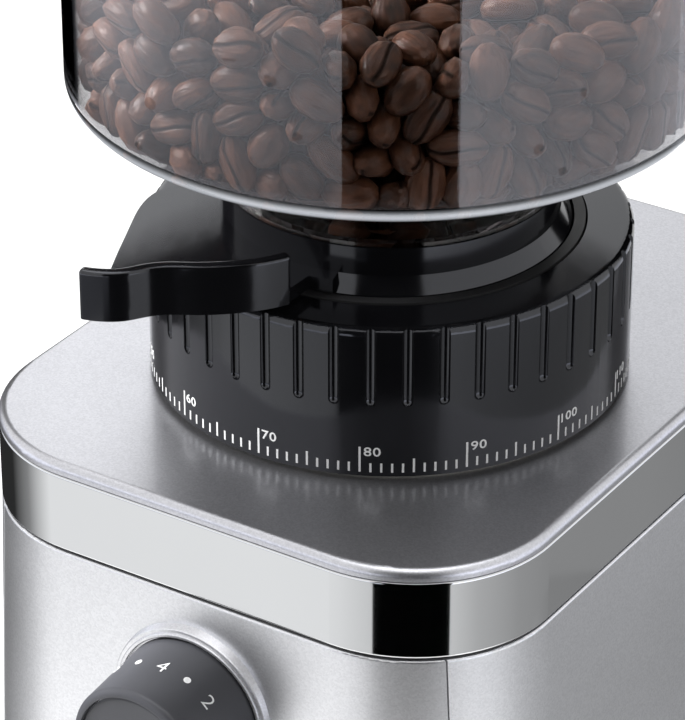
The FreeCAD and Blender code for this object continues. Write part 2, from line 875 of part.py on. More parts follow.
def mounting_plate():
    piece = body("mounting_plate")
    pad(piece, plan(piece, "wall + plate_inset", "plate_low"), "plate_thick")
    cylinder(piece, ("0", "0", "low_bearing_z"), "bearing_hub_r", "bearing_width")
    hole(piece, ("0", "0", "low_bearing_z"), "bearing_r", "bearing_width")
    hole(piece, ("0", "motor_y", "plate_low"), "shaft_way_r", "plate_thick")
    side = "window_half + chute_wall + fit"
    cavity(piece, (f"-({side})", "-(chute_front + fit)", "plate_low"),
           (side, "fit - chute_back + window_half", "plate_top"))
    for x, y in PILLARS + MOTOR_SCREWS:
        hole(piece, (x, y, "plate_low"), "screw_r + screw_fit", "plate_thick")


def grind_chamber():
    piece = body("grind_chamber")
    turned(piece, [
        ("shaft_r + run_fit", "chamber_low"),
        ("tube_out", "chamber_low"),
        ("tube_out", "deck_top"),
        ("flange_r", "deck_top"),
        ("flange_r", "deck_top + flange_thick"),
        ("tube_out", "deck_top + flange_thick"),
        ("tube_out", "lip_top"),
        ("tube_r", "lip_top"),
        ("tube_r", "chamber_floor"),
        ("bearing_hub_r", "chamber_floor"),
        ("bearing_hub_r", "bearing_top"),
        ("bearing_r", "bearing_top"),
        ("bearing_r", "bearing_low"),
        ("shaft_r + run_fit", "bearing_low"),
    ])
    cavity(piece, ("-window_half", "-(tube_out + fit)", "chamber_floor"),
           ("window_half", "tube_wall - tube_r", "window_top"))
    slot = cavity(piece, ("-(pin_r + fit)", "tube_r - tube_wall", "pin_z - pin_play"),
                  ("pin_r + fit", "tube_out + fit", "pin_z + pin_play"))
    around(piece, [slot], TRIO_COUNT)
    for x, y in FLANGE_SCREWS:
        hole(piece, (x, y, "deck_top"), "screw_r + screw_fit", "flange_thick")


def chamber_fittings():
    seat = body("hopper_seat")
    turned(seat, [
        ("tube_r - seat_width", "seat_low"),
        ("tube_r - shaft_fit", "seat_low"),
        ("tube_r - shaft_fit", "seat_top"),
        ("tube_r - seat_width", "seat_top"),
    ])
    washer = body("glide_washer")
    turned(washer, [
        ("ring_in", "cover_z"),
        ("ring_r - shoulder_round", "cover_z"),
        ("ring_r - shoulder_round", "cover_z + washer_thick"),
        ("ring_in", "cover_z + washer_thick"),
    ])
    screws("chamber_screws", FLANGE_SCREWS, "deck_top + flange_thick", "flange_thick", False)


def outlet_chute():
    piece = body("outlet_chute")
    side = "window_half + chute_wall"
    roof = "window_top + chute_wall"
    block(piece, (f"-({side})", "-chute_front", "chute_low"), (side, "window_half - tube_out", roof))
    hole(piece, ("0", "0", "chute_low"), "chute_back", f"{roof} - chute_low")
    cavity(piece, ("-window_half", "-chute_outer", "chute_low"),
           ("window_half", "-chute_inner", "window_top"))
    cavity(piece, ("-window_half", "-chute_outer", "chamber_floor"), ("window_half", "0", "window_top"))


def bearing(label, low):
    """Ball bearing drawn as one ring with its shield grooves."""
    piece = body(label)
    groove_low = "shaft_r + inner_race"
    groove_high = "bearing_r - outer_race"
    turned(piece, [
        ("shaft_r + shaft_fit", low),
        (groove_low, low),
        (groove_low, f"{low} + shield_sunk"),
        (groove_high, f"{low} + shield_sunk"),
        (groove_high, low),
        ("bearing_r - shaft_fit", low),
        ("bearing_r - shaft_fit", f"{low} + bearing_width"),
        (groove_high, f"{low} + bearing_width"),
        (groove_high, f"{low} + bearing_width - shield_sunk"),
        (groove_low, f"{low} + bearing_width - shield_sunk"),
        (groove_low, f"{low} + bearing_width"),
        ("shaft_r + shaft_fit", f"{low} + bearing_width"),
    ])


def adjust_ring():
    piece = body("adjust_ring")
    turned(piece, [
        ("ring_r", "ring_low"),
        ("ring_r", "ring_high"),
        ("sleeve_in", "ring_high + ring_crown"),
        ("sleeve_in", "pin_z + pin_play"),
        ("groove_r", "pin_z + pin_play"),
        ("groove_r", "pin_z - pin_play"),
        ("sleeve_in", "pin_z - pin_play"),
        ("sleeve_in", "pin_z - sleeve_drop"),
        ("sleeve_out", "pin_z - sleeve_drop"),
        ("sleeve_out", "ring_high - ring_top"),
        ("ring_in", "ring_high - ring_top"),
        ("ring_in", "ring_low"),
    ])
    soften(piece, "shoulder_round", lambda edge: circle_at(edge, "ring_r", "ring_high"))
    centre = "ring_r + flute_r - flute_depth"
    start = "cover_z + flute_low"
    place = (f"({centre}) * cos(flute_turn)", f"({centre}) * sin(flute_turn)", start)
    flute = hole(piece, place, "flute_r", "ring_height")
    end = add_feature(piece, "SubtractiveSphere", {"Radius": "flute_r", **at(*place)})
    around(piece, [flute, end], "flute_count")


def burr_carrier():
    piece = body("burr_carrier")
    turned(piece, [
        ("throat_r", "carrier_low"),
        ("carrier_out", "carrier_low"),
        ("carrier_out", "carrier_top"),
        ("carrier_out - carrier_rim", "carrier_top"),
        ("throat_r", "carrier_low + carrier_rim"),
    ])
    place = ("0", "carrier_out - pin_depth", "pin_z")
    seat = hole(piece, place, "pin_r + shaft_fit", "pin_depth + fit", "+Y")
    around(piece, [seat], TRIO_COUNT)
    drill = hole(piece, ("0", "burr_screw_r", "carrier_low"), "screw_r + screw_fit", "burr_grip + fit")
    around(piece, [drill], TRIO_COUNT)


def burr_set():
    outer = body("outer_burr")
    turned(outer, [
        ("burr_r + burr_gap", "burr_low"),
        ("outer_burr_r", "burr_low"),
        ("outer_burr_r", "carrier_low"),
        ("throat_r", "carrier_low"),
        ("burr_r + burr_gap - burr_mesh * burr_slope", "burr_low + burr_mesh"),
    ])
    drill = hole(outer, ("0", "burr_screw_r", "burr_low"), "screw_r + screw_fit", "outer_burr_height")
    around(outer, [drill], TRIO_COUNT)
    screws("burr_screws", BURR_SCREWS, "burr_low", "outer_burr_height + burr_grip", True)
    pins = []
    for x, y in ring_of("1", TRIO_COUNT, REAR_TURN):
        pin = rod(("0", "0", "0"), "pin_r", "pin_end - carrier_out + pin_depth")
        start = "carrier_out - pin_depth"
        direction = FreeCAD.Vector(number(x), number(y), 0)
        turn = FreeCAD.Rotation(FreeCAD.Vector(0, 0, 1), direction)
        pin.Placement = FreeCAD.Placement(FreeCAD.Vector(), turn)
        bind(pin, at(f"({start}) * {x}", f"({start}) * {y}", "pin_z"))
        pins.append(pin)
    group("carrier_pins", pins)


def spindle():
    shaft = body("drive_shaft")
    turned(shaft, [
        ("0", "low_bearing_z"),
        ("shaft_r", "low_bearing_z"),
        ("shaft_r", "burr_top"),
        ("stud_r", "burr_top"),
        ("stud_r", "burr_top + bolt_height + stud_proud"),
        ("0", "burr_top + bolt_height + stud_proud"),
    ])
    inner = body("inner_burr")
    turned(inner, [
        ("shaft_r + shaft_fit", "burr_low"),
        ("burr_r", "burr_low"),
        ("burr_tip_r", "burr_top"),
        ("shaft_r + shaft_fit", "burr_top"),
    ])
    bite = hole(inner, ("burr_r", "0", "burr_low + burr_mesh"), "bite_r", "burr_height")
    around(inner, [bite], "burr_flutes")
    bolt = body("burr_bolt")
    turned(bolt, [
        ("stud_r + shaft_fit", "burr_top"),
        ("bolt_r", "burr_top"),
        ("bolt_r", "burr_top + bolt_height / 2"),
        ("bolt_r - bolt_cone", "burr_top + bolt_height"),
        ("stud_r + shaft_fit", "burr_top + bolt_height"),
    ])
    sweeper = body("sweeper")
    under = "bearing_top + sweep_lift"
    turned(sweeper, [
        ("shaft_r + shaft_fit", under),
        ("bearing_hub_r + sweep_lip", under),
        ("bearing_hub_r + sweep_lip", f"{under} + sweep_plate"),
        ("sweep_hub_r", "sweep_top"),
        ("shaft_r + shaft_fit", "sweep_top"),
    ])
    arm = block(sweeper, ("bearing_hub_r + sweep_lift", "-sweep_arm / 2", "chamber_floor + sweep_lift"),
                ("tube_r - sweep_lift", "sweep_arm / 2", f"{under} + sweep_plate"))
    around(sweeper, [arm], "sweep_arms")


def gear(label, teeth, low, width, bore, turn, centre_y="0"):
    """Spur gear: one straight-flanked tooth on a root disc, repeated round the axis."""
    piece = body(label)
    bind(piece, {"Placement.Base.y": f"axis_y + {centre_y}"})
    rotation = FreeCAD.Rotation(FreeCAD.Vector(0, 0, 1), turn)
    piece.Placement = FreeCAD.Placement(piece.Placement.Base, rotation)
    pitch_r = f"gear_module * {teeth} / 2"
    cylinder(piece, ("0", "0", low), f"{pitch_r} - gear_module * dedendum", width)
    half = "gear_module * pi * tooth_share / 2"
    root = f"{half} + gear_module * flank_lean * tooth_root"
    crest = f"{half} - gear_module * flank_lean * addendum"
    tooth = pad(piece, sketch(piece, "XY_Plane", [
        (f"{pitch_r} - gear_module * tooth_root", f"-({root})"),
        (f"{pitch_r} + gear_module * addendum", f"-({crest})"),
        (f"{pitch_r} + gear_module * addendum", crest),
        (f"{pitch_r} - gear_module * tooth_root", root),
    ], low), width)
    around(piece, [tooth], teeth)
    hole(piece, ("0", "0", low), bore, width)
    return piece


def drive_gears():
    gear("drive_gear", "gear_teeth", "gear_low", "gear_width", "shaft_r + shaft_fit", REAR_TURN)
    half_pitch = 180 / number("pinion_teeth")
    gear("pinion", "pinion_teeth", "gear_low - pinion_proud", "gear_width + pinion_proud * 2",
         "motor_shaft_r + shaft_fit", half_pitch - REAR_TURN, "motor_y")


def motor():
    def about_motor(label, points):
        piece = body(label)
        bind(piece, {"Placement.Base.y": "axis_y + motor_y"})
        turned(piece, points)
        return piece

    bell_low = "motor_low + bell_thick"
    bell_high = "plate_low - bell_thick"
    about_motor("motor_can", [
        ("motor_in", bell_low),
        ("motor_r", bell_low),
        ("motor_r", bell_high),
        ("motor_in", bell_high),
    ])
    for label, low in (("motor_lower_bell", "motor_low"), ("motor_upper_bell", bell_high)):
        bell = about_motor(label, [
            ("motor_shaft_r + shaft_fit", low),
            ("motor_r", low),
            ("motor_r", f"{low} + bell_thick"),
            ("motor_shaft_r + shaft_fit", f"{low} + bell_thick"),
        ])
        if label == "motor_upper_bell":
            for x in ("-motor_screw_x", "motor_screw_x"):
                hole(bell, (x, "0", low), "screw_r + screw_fit", "bell_thick")
    magnets = []
    for side in (0, 180):
        turn = FreeCAD.Rotation(FreeCAD.Vector(0, 0, 1), side - number("magnet_angle") / 2)
        outer = rod(("0", "motor_y", "rotor_low"), "motor_in - shaft_fit", "rotor_length")
        inner = rod(("0", "motor_y", "rotor_low"), "rotor_r + rotor_gap", "rotor_length")
        for shape in (outer, inner):
            bind(shape, {"Angle": "magnet_angle"})
            shape.Placement = FreeCAD.Placement(shape.Placement.Base, turn)
        magnet = doc.addObject("Part::Cut", "Magnet")
        magnet.Base = outer
        magnet.Tool = inner
        magnets.append(magnet)
    group("motor_magnets", magnets)
    core = about_motor("rotor_core", [
        ("motor_shaft_r + shaft_fit", "rotor_low"),
        ("rotor_r", "rotor_low"),
        ("rotor_r", "rotor_top"),
        ("motor_shaft_r + shaft_fit", "rotor_top"),
    ])
    slot = cavity(core, ("slot_floor_r", "-slot_width / 2", "rotor_low"),
                  ("rotor_r + rotor_gap", "slot_width / 2", "rotor_top"))
    around(core, [slot], "rotor_slots")
    coils = []
    bores = []
    for low in ("rotor_low - winding_height", "rotor_top"):
        coils.append(rod(("0", "motor_y", low), "winding_r", "winding_height"))
        bores.append(rod(("0", "motor_y", low), "motor_shaft_r + shaft_fit", "winding_height"))
    group("rotor_windings", coils, bores)
    collar_top = "rotor_low - winding_height"
    about_motor("commutator", [
        ("motor_shaft_r + shaft_fit", f"{collar_top} - commutator_length"),
        ("commutator_r", f"{collar_top} - commutator_length"),
        ("commutator_r", collar_top),
        ("motor_shaft_r + shaft_fit", collar_top),
    ])
    brushes = []
    for low, high in (("commutator_r + fit", "motor_in"), ("-motor_in", "-(commutator_r + fit)")):
        brushes.append(brick(
            (low, "motor_y - brush_width / 2", f"{collar_top} - commutator_length / 2 - brush_width / 2"),
            (high, "motor_y + brush_width / 2", f"{collar_top} - commutator_length / 2 + brush_width / 2"),
        ))
    trim = doc.addObject("Part::Common", "BrushTrim")
    trim.Base = doc.addObject("Part::MultiFuse", "BrushPair")
    trim.Base.Shapes = brushes
    trim.Tool = rod(("0", "motor_y", "motor_low"), "motor_in - shaft_fit", "motor_length")
    group("motor_brushes", [trim])
    about_motor("motor_shaft", [
        ("0", "motor_low + shaft_end"),
        ("motor_shaft_r", "motor_low + shaft_end"),
        ("motor_shaft_r", "gear_high + shaft_proud"),
        ("0", "gear_high + shaft_proud"),
    ])
    screws("plate_screws", PILLARS, "plate_top", "plate_thick + screw_grip - screw_fit", False)
    screws("motor_screws", MOTOR_SCREWS, "plate_top", "plate_thick + bell_thick", False)


def gates(piece, low, thick):
    """Three sector openings round a hub, the bean gate's fixed and moving halves."""
    sector = hole(piece, ("0", "0", low), "gate_r", thick, Angle=number("gate_angle"))
    bind(sector, {"Angle": "gate_angle"})
    around(piece, [sector], TRIO_COUNT)
    cylinder(piece, ("0", "0", low), "gate_hub_r", thick)


def hopper_bowl():
    piece = body("hopper_bowl")
    shoulder = "hub_top + fit"
    turned(piece, [
        ("0", "neck_low"),
        ("neck_out", "neck_low"),
        ("neck_out", shoulder),
        ("ridge_r", shoulder),
        ("ridge_r", f"{shoulder} + neck_ridge_height"),
        ("throat_groove", "funnel_z"),
        ("hopper_r", "rim_z"),
        ("hopper_r", "hopper_top"),
        ("hopper_in", "hopper_top"),
        ("hopper_in", "rim_z - hopper_wall * funnel_slope + funnel_lift"),
        ("neck_r", "funnel_z - (throat_groove - neck_r) * funnel_slope + funnel_lift"),
        ("neck_r", "neck_floor"),
        ("0", "neck_floor"),
    ])
    soften(piece, "hopper_round", lambda edge: circle_at(edge, "hopper_r", "rim_z"))
    gates(piece, "neck_low", "hopper_floor")


def hopper_lid():
    piece = body("hopper_lid")
    turned(piece, [
        ("0", "lid_low"),
        ("plug_r - lid_plug_wall", "lid_low"),
        ("plug_r - lid_plug_wall", "lid_low - lid_plug"),
        ("plug_r", "lid_low - lid_plug"),
        ("plug_r", "lid_low"),
        ("hopper_r", "lid_low"),
        ("hopper_r", "lid_high"),
        ("0", "lid_high"),
    ])
    soften(piece, "lid_round", lambda edge: circle_at(edge, "hopper_r", "lid_high"))
    seal = body("lid_seal")
    turned(seal, [
        ("plug_r", "lid_low - lid_plug / 2 - seal_width / 2"),
        ("plug_r + seal_proud", "lid_low - lid_plug / 2 - seal_width / 2"),
        ("plug_r + seal_proud", "lid_low - lid_plug / 2 + seal_width / 2"),
        ("plug_r", "lid_low - lid_plug / 2 + seal_width / 2"),
    ])
    grip = body("lid_knob")
    turned(grip, [
        ("0", "lid_high"),
        ("lid_stem_r", "lid_high"),
        ("lid_stem_r", "lid_high + lid_neck"),
        ("lid_knob_r", "lid_top - lid_knob_rim"),
        ("lid_knob_r", "lid_top"),
        ("0", "lid_top"),
    ])
    soften(grip, "lid_round", lambda edge: circle_at(edge, "lid_knob_r", "lid_top"))


# The lever's upright wall, the edge of its wing and the short flange before the wing, as
# (mm beyond the hub, degrees) about the burr axis; -90 degrees is straight to the front.
LEVER_WALL = [
    (8.2, -82.6),
    (15.8, -90.2),
    (22, -97.4),
    (25.2, -101),
    (28.6, -102.9),
    (32.1, -104.1),
    (35.6, -106.4),
    (38.2, -109.2),
]
WING_EDGE = [
    (0.4, -152.8),
    (6.7, -152.6),
    (9.1, -150.5),
    (12.8, -143.1),
    (16.4, -132.5),
    (20.7, -124.1),
    (31.5, -111.2),
]
WING_FLANGE = [(1.2, -82.6), (1.2, -79), (1.2, -75)]


def polar_points(table):
    hub = number("hub_out")
    for beyond, angle in table:
        turn = math.radians(angle)
        yield FreeCAD.Vector((hub + beyond) * math.cos(turn), (hub + beyond) * math.sin(turn), 0)


def smooth(points):
    curve = Part.BSplineCurve()
    curve.interpolate(list(points))
    return curve


def behind(curve, points, reach):
    """Points at a distance from a curve, on its right-hand side."""
    for point in points:
        along_curve = curve.tangent(curve.parameter(point))[0]
        yield point + FreeCAD.Vector(along_curve.y, -along_curve.x, 0) * reach


def outline(*lines):
    """Face within lines and curves that follow each other, closed by a straight line."""
    edges = []
    for line in lines:
        if edges:
            edges.append(Part.LineSegment(edges[-1].Vertexes[-1].Point, line.StartPoint).toShape())
        edges.append(line.toShape())
    edges.append(Part.LineSegment(edges[-1].Vertexes[-1].Point, lines[0].StartPoint).toShape())
    return Part.Face(Part.Wire(edges))


def lever_rounds(wall):
    """The edges round the top of the lever's wall and down its two ends."""
    chosen = []
    for edge in wall.Edges:
        upright = edge.BoundBox.ZLength > NEAR
        on_top = edge.BoundBox.ZMin > wall.BoundBox.ZMax - NEAR
        if on_top or upright:
            chosen.append(edge)
    return chosen


def shutter_lever():
    """Turning collar on the hopper's neck with its wing and its curved upright wall."""
    up = FreeCAD.Vector(0, 0, 1)
    low = number("hub_low")
    profile = [
        (number("hub_in"), low),
        (number("hub_out"), low),
        (number("hub_out"), number("lip_top")),
        (number("hub_top_r"), number("wing_top")),
        (number("hub_top_r"), number("hub_top")),
        (number("hub_in"), number("hub_top")),
    ]
    corners_3d = [FreeCAD.Vector(r, 0, z) for r, z in profile]
    collar = Part.Face(Part.makePolygon(corners_3d + corners_3d[:1])).revolve(FreeCAD.Vector(), up, 360)
    wall_points = list(polar_points(LEVER_WALL))
    wall_face = smooth(wall_points)
    wall_back = smooth(reversed(list(behind(wall_face, wall_points, number("lever_thick")))))
    wall_shape = outline(wall_face, wall_back).extrude(up * number("lever_height"))
    wall_shape.translate(up * number("wing_low + lever_low"))
    wall_shape = wall_shape.makeFillet(number("lever_round"), lever_rounds(wall_shape))
    middle = list(behind(wall_face, wall_points, number("lever_thick / 2")))
    join_line = smooth(reversed(middle[:-1]))
    flange_line = Part.Arc(*polar_points(WING_FLANGE))
    beyond = number("hub_in + hub_wall / 2 - hub_out")
    first = WING_FLANGE[-1][1]
    last = WING_EDGE[0][1]
    root_line = Part.Arc(*polar_points([(beyond, first), (beyond, (first + last) / 2), (beyond, last)]))
    edge_line = smooth(polar_points(WING_EDGE))
    wing = outline(join_line, flange_line, root_line, edge_line).extrude(up * number("wing_thick"))
    wing.translate(up * number("wing_low"))
    solid = collar.fuse([wing, wall_shape])
    neck = Part.makeCylinder(number("hub_in"), number("hub_height + lever_height"), FreeCAD.Vector(0, 0, low))
    drills = []
    for x, y in SHUTTER_PINS:
        place = FreeCAD.Vector(number(x), number(y), low)
        drills.append(Part.makeCylinder(number("screw_r + screw_fit"), number("shutter_pin + fit"), place))
    piece = doc.addObject("Part::Feature", "shutter_lever")
    piece.Shape = solid.cut([neck] + drills).removeSplitter().Solids[0]
    piece.Label = "shutter_lever"
    bind(piece, {"Placement.Base.y": "axis_y"})
    nodes.append(piece)


def shutter_disc():
    piece = body("shutter_disc")
    cylinder(piece, ("0", "0", "disc_low"), "hub_out", "disc_thick")
    gates(piece, "disc_low", "disc_thick")
    pins = []
    for x, y in SHUTTER_PINS:
        hole(piece, (x, y, "disc_low"), "screw_r + screw_fit", "disc_thick")
        pins.append(rod((x, y, "disc_low"), "screw_r", "disc_thick + shutter_pin"))
    group("shutter_pins", pins)


def timer_knob():
    piece = dial_body("timer_knob")
    floor = "knob_length - button_depth"
    turned(piece, [
        ("dial_shaft_r + shaft_fit", "knob_lift"),
        ("knob_hub_r", "knob_lift"),
        ("knob_hub_r", f"{floor} - knob_wall"),
        ("knob_front_r - knob_wall", f"{floor} - knob_wall"),
        ("knob_r - knob_wall", "0"),
        ("knob_r", "0"),
        ("knob_front_r", "knob_length"),
        ("button_r + button_fit", "knob_length"),
        ("button_r + button_fit", floor),
        ("dial_shaft_r + shaft_fit", floor),
    ])
    soften(piece, "knob_round", lambda edge: circle_at(edge, "knob_front_r", "knob_length"))
    shaft = dial_body("selector_shaft")
    cylinder(shaft, ("0", "0", "panel_in - switch_gap - switch_bore - knob_back"), "dial_shaft_r",
             f"{floor} - (panel_in - switch_gap - switch_bore - knob_back)")
    button = dial_body("start_button")
    top = "knob_length - button_sunk"
    cylinder(button, ("0", "0", f"{top} - button_thick"), "button_r", "button_thick")
    soften(button, "rim_round", lambda edge: circle_at(edge, "button_r", top))


def selector_switch():
    piece = body("selector_switch")
    face = "-(panel_in - switch_gap)"
    block(piece, ("-switch_half", face, "knob_z - switch_down"),
          ("switch_half", "-(chute_front + switch_gap)", "knob_z + switch_up"))
    place = ("0", f"{face} + switch_bore + fit", "knob_z")
    hole(piece, place, "dial_shaft_r + run_fit", "switch_bore + fit", "-Y")


def grounds_container():
    tub = body("grounds_container")
    drafted_box(tub, "container_low", "container_top", "container_back", "bay_sunk", "container_half")
    drafted_cavity(tub, "container_low + container_wall", "container_top", "container_back - container_wall",
                   "bay_sunk + container_wall", "container_half - container_wall")
    lid = body("container_lid")
    lid_top = "container_top + container_lid"
    drafted_box(lid, "container_top", lid_top, "container_back", "bay_sunk", "container_half")
    middle = "-(chute_inner + chute_gap / 2)"
    hole(lid, ("0", middle, "container_top"), "port_r", "container_lid")
    grip = body("container_grip")
    high = "container_top - grip_drop"
    low = f"{high} - grip_height"
    lean = front_line(high, "bay_sunk")
    points = [
        (front_line(low, "bay_sunk"), low),
        (lean, high),
        (f"{lean} - grip_reach", high),
        (f"{lean} - grip_reach", f"{high} - grip_lip"),
        (f"{lean} - grip_wall", f"{high} - grip_lip"),
        (f"{lean} - grip_wall", low),
    ]
    pad(grip, sketch(grip, "YZ_Plane", points), "bay_half", SideType="Symmetric")


def wiring_side():
    board = body("control_board")
    block(board, ("-board_width / 2", "board_y - board_thick", "board_low"),
          ("board_width / 2", "board_y", "board_low + board_height"))
    parts = []
    for side in ("-", ""):
        for rise in ("board_edge * 2", "board_height / 2 + board_edge"):
            centre = f"{side}(board_width / 2 - part_size)"
            parts.append(brick(
                (f"{centre} - part_size / 2", "board_y - board_thick - part_depth", f"board_low + {rise}"),
                (f"{centre} + part_size / 2", "board_y - board_thick", f"board_low + {rise} + part_size"),
            ))
    group("board_components", parts)
    gland = body("cable_gland")
    back = "gland_y - wall - gland_tail"
    cylinder(gland, ("0", back, "gland_z"), "gland_r", f"back_reach - ({back})", "Additive", "+Y")
    cylinder(gland, ("0", "gland_seat", "gland_z"), "gland_flange_r", "gland_flange", "Additive", "+Y")
    hole(gland, ("0", back, "gland_z"), "gland_bore_r", f"back_reach - ({back})", "+Y")
    nut = body("gland_nut")
    place = ("0", "gland_y - wall - nut_gap - gland_nut", "gland_z")
    cylinder(nut, place, "gland_flange_r", "gland_nut", "Additive", "+Y")
    hole(nut, place, "gland_r + shaft_fit", "gland_nut", "+Y")
    interlock = body("hopper_switch")
    front = "flange_r + interlock_gap"
    block(interlock, ("-interlock_half", front, "deck_top"),
          ("interlock_half", f"{front} + interlock_depth", "deck_top + interlock_height"))


def build():
    fill_sheets()
    front_shell()
    rear_shell()
    top_frame()
    chrome_band()
    top_cover()
    base_plate()
    underside()
    bay_liner()
    mounting_plate()
    grind_chamber()
    chamber_fittings()
    outlet_chute()
    bearing("upper_bearing", "bearing_low")
    bearing("lower_bearing", "low_bearing_z")
    adjust_ring()
    burr_carrier()
    burr_set()
    spindle()
    drive_gears()
    motor()
    hopper_bowl()
    hopper_lid()
    shutter_lever()
    shutter_disc()
    timer_knob()
    selector_switch()
    grounds_container()
    wiring_side()
    doc.recompute()


def check():
    for thing in doc.Objects:
        if "Invalid" in thing.State or "Error" in thing.State:
            raise RuntimeError(f"{thing.Label} failed: {thing.State}")
    for piece in nodes:
        if piece.Shape.isNull() or not piece.Shape.isValid() or not piece.Shape.Solids:
            raise RuntimeError(f"{piece.Label} has no valid solid")


def write():
    os.makedirs("parts", exist_ok=True)
    for piece in nodes:
        piece.Shape.exportStep(f"parts/{piece.Label}.step")


build()
check()
write()
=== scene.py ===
import math

import bpy
import numpy as np
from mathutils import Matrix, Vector
from mathutils.kdtree import KDTree


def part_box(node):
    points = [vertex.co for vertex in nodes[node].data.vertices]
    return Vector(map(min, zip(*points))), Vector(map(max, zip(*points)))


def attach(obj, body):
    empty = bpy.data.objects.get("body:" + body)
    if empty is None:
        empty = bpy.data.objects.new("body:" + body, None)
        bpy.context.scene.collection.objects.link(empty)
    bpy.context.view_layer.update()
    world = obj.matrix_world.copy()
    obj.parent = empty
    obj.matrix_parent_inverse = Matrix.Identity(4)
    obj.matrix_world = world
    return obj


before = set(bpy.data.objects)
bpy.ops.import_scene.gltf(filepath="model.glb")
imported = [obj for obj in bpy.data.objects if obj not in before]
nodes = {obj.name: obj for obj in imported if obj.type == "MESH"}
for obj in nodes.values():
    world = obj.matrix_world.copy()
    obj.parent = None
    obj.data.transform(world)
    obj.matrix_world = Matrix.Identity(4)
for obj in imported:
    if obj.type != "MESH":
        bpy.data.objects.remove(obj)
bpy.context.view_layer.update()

# Burr coffee grinder: finishes, printed scales, the beans in the hopper and the studio.
# Sizes are written in millimetres and turned into metres by MM.
MM = 0.001

ring_low, ring_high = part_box("adjust_ring")
AXIS_Y = (ring_low.y + ring_high.y) / 2
RING_R = (ring_high.x - ring_low.x) / 2
COVER_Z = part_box("top_cover")[1].z
dial_low, dial_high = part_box("timer_knob")
DIAL_Z = (dial_low.z + dial_high.z) / 2
DIAL_R = (dial_high.z - dial_low.z) / 2


def add(tree, kind, sockets=None, **settings):
    """Adds a node; a socket is given a plain value or linked to another node's output."""
    made = tree.nodes.new(kind)
    for name, value in settings.items():
        setattr(made, name, value)
    for name, value in (sockets or {}).items():
        if isinstance(value, bpy.types.NodeSocket):
            tree.links.new(value, made.inputs[name])
        else:
            made.inputs[name].default_value = value
    return made


def math_node(tree, operation, first, second=0.0, third=0.0):
    return add(tree, "ShaderNodeMath", {0: first, 1: second, 2: third}, operation=operation).outputs[0]


def group_tree(name, kind, inputs, outputs):
    tree = bpy.data.node_groups.new(name, kind)
    for label, socket, value in inputs:
        made = tree.interface.new_socket(label, in_out="INPUT", socket_type=socket)
        if value is not None:
            made.default_value = value
    for label, socket in outputs:
        tree.interface.new_socket(label, in_out="OUTPUT", socket_type=socket)
    return tree, tree.nodes.new("NodeGroupInput").outputs, tree.nodes.new("NodeGroupOutput").inputs


def place_of(tree):
    return add(tree, "ShaderNodeTexCoord").outputs["Object"]


# How much of the paint's tone comes from its flakes; the rest is a soft cloud.
FLAKE_SHARE = 0.8


def flake_group():
    """Metal flakes in a clear lacquer: a tone for each flake and a height between them."""
    tree, given, out = group_tree("metal_flake", "ShaderNodeTree", [
        ("Flakes per metre", "NodeSocketFloat", 3000.0),
        ("Cloud per metre", "NodeSocketFloat", 40.0),
    ], [("Tone", "NodeSocketFloat"), ("Height", "NodeSocketFloat")])
    place = place_of(tree)
    cell = add(tree, "ShaderNodeTexVoronoi", {"Vector": place, "Scale": given["Flakes per metre"]})
    tone = add(tree, "ShaderNodeSeparateColor", {"Color": cell.outputs["Color"]}).outputs[0]
    cloud = add(tree, "ShaderNodeTexNoise", {
        "Vector": place, "Scale": given["Cloud per metre"], "Detail": 3.0,
    }).outputs["Fac"]
    soft = math_node(tree, "MULTIPLY", cloud, 1.0 - FLAKE_SHARE)
    tree.links.new(math_node(tree, "MULTIPLY_ADD", tone, FLAKE_SHARE, soft), out["Tone"])
    tree.links.new(tone, out["Height"])
    return tree


def smudge_group():
    """Roughness that drifts between two values, and the same patches as a film of handling."""
    tree, given, out = group_tree("handled_gloss", "ShaderNodeTree", [
        ("Patches per metre", "NodeSocketFloat", 30.0),
        ("Polished", "NodeSocketFloat", 0.1),
        ("Dulled", "NodeSocketFloat", 0.2),
    ], [("Roughness", "NodeSocketFloat"), ("Film", "NodeSocketFloat")])
    place = place_of(tree)
    patches = add(tree, "ShaderNodeTexNoise", {
        "Vector": place, "Scale": given["Patches per metre"], "Detail": 5.0, "Roughness": 0.6,
    }).outputs["Fac"]
    level = add(tree, "ShaderNodeMapRange", {
        "Value": patches, "From Min": 0.32, "From Max": 0.68,
        "To Min": given["Polished"], "To Max": given["Dulled"],
    }).outputs[0]
    tree.links.new(level, out["Roughness"])
    tree.links.new(patches, out["Film"])
    return tree


def grain_group():
    """Moulded texture: a fine leathery height and a slow drift of tone."""
    tree, given, out = group_tree("moulded_grain", "ShaderNodeTree", [
        ("Grains per metre", "NodeSocketFloat", 1400.0),
    ], [("Height", "NodeSocketFloat"), ("Tone", "NodeSocketFloat")])
    place = place_of(tree)
    cells = add(tree, "ShaderNodeTexVoronoi", {
        "Vector": place, "Scale": given["Grains per metre"],
    }, feature="SMOOTH_F1").outputs["Distance"]
    drift = add(tree, "ShaderNodeTexNoise", {"Vector": place, "Scale": 60.0, "Detail": 4.0}).outputs["Fac"]
    tree.links.new(cells, out["Height"])
    tree.links.new(drift, out["Tone"])
    return tree


FLAKE = flake_group()
SMUDGE = smudge_group()
GRAIN = grain_group()


def new_material(name):
    made = bpy.data.materials.new(name)
    made.use_nodes = True
    tree = made.node_tree
    return made, tree, tree.nodes["Principled BSDF"]


def set_shader(shader, **values):
    for name, value in values.items():
        shader.inputs[name.replace("_", " ")].default_value = value


def use_group(tree, group, **values):
    made = add(tree, "ShaderNodeGroup", node_tree=group)
    for name, value in values.items():
        made.inputs[name.replace("_", " ")].default_value = value
    return made.outputs


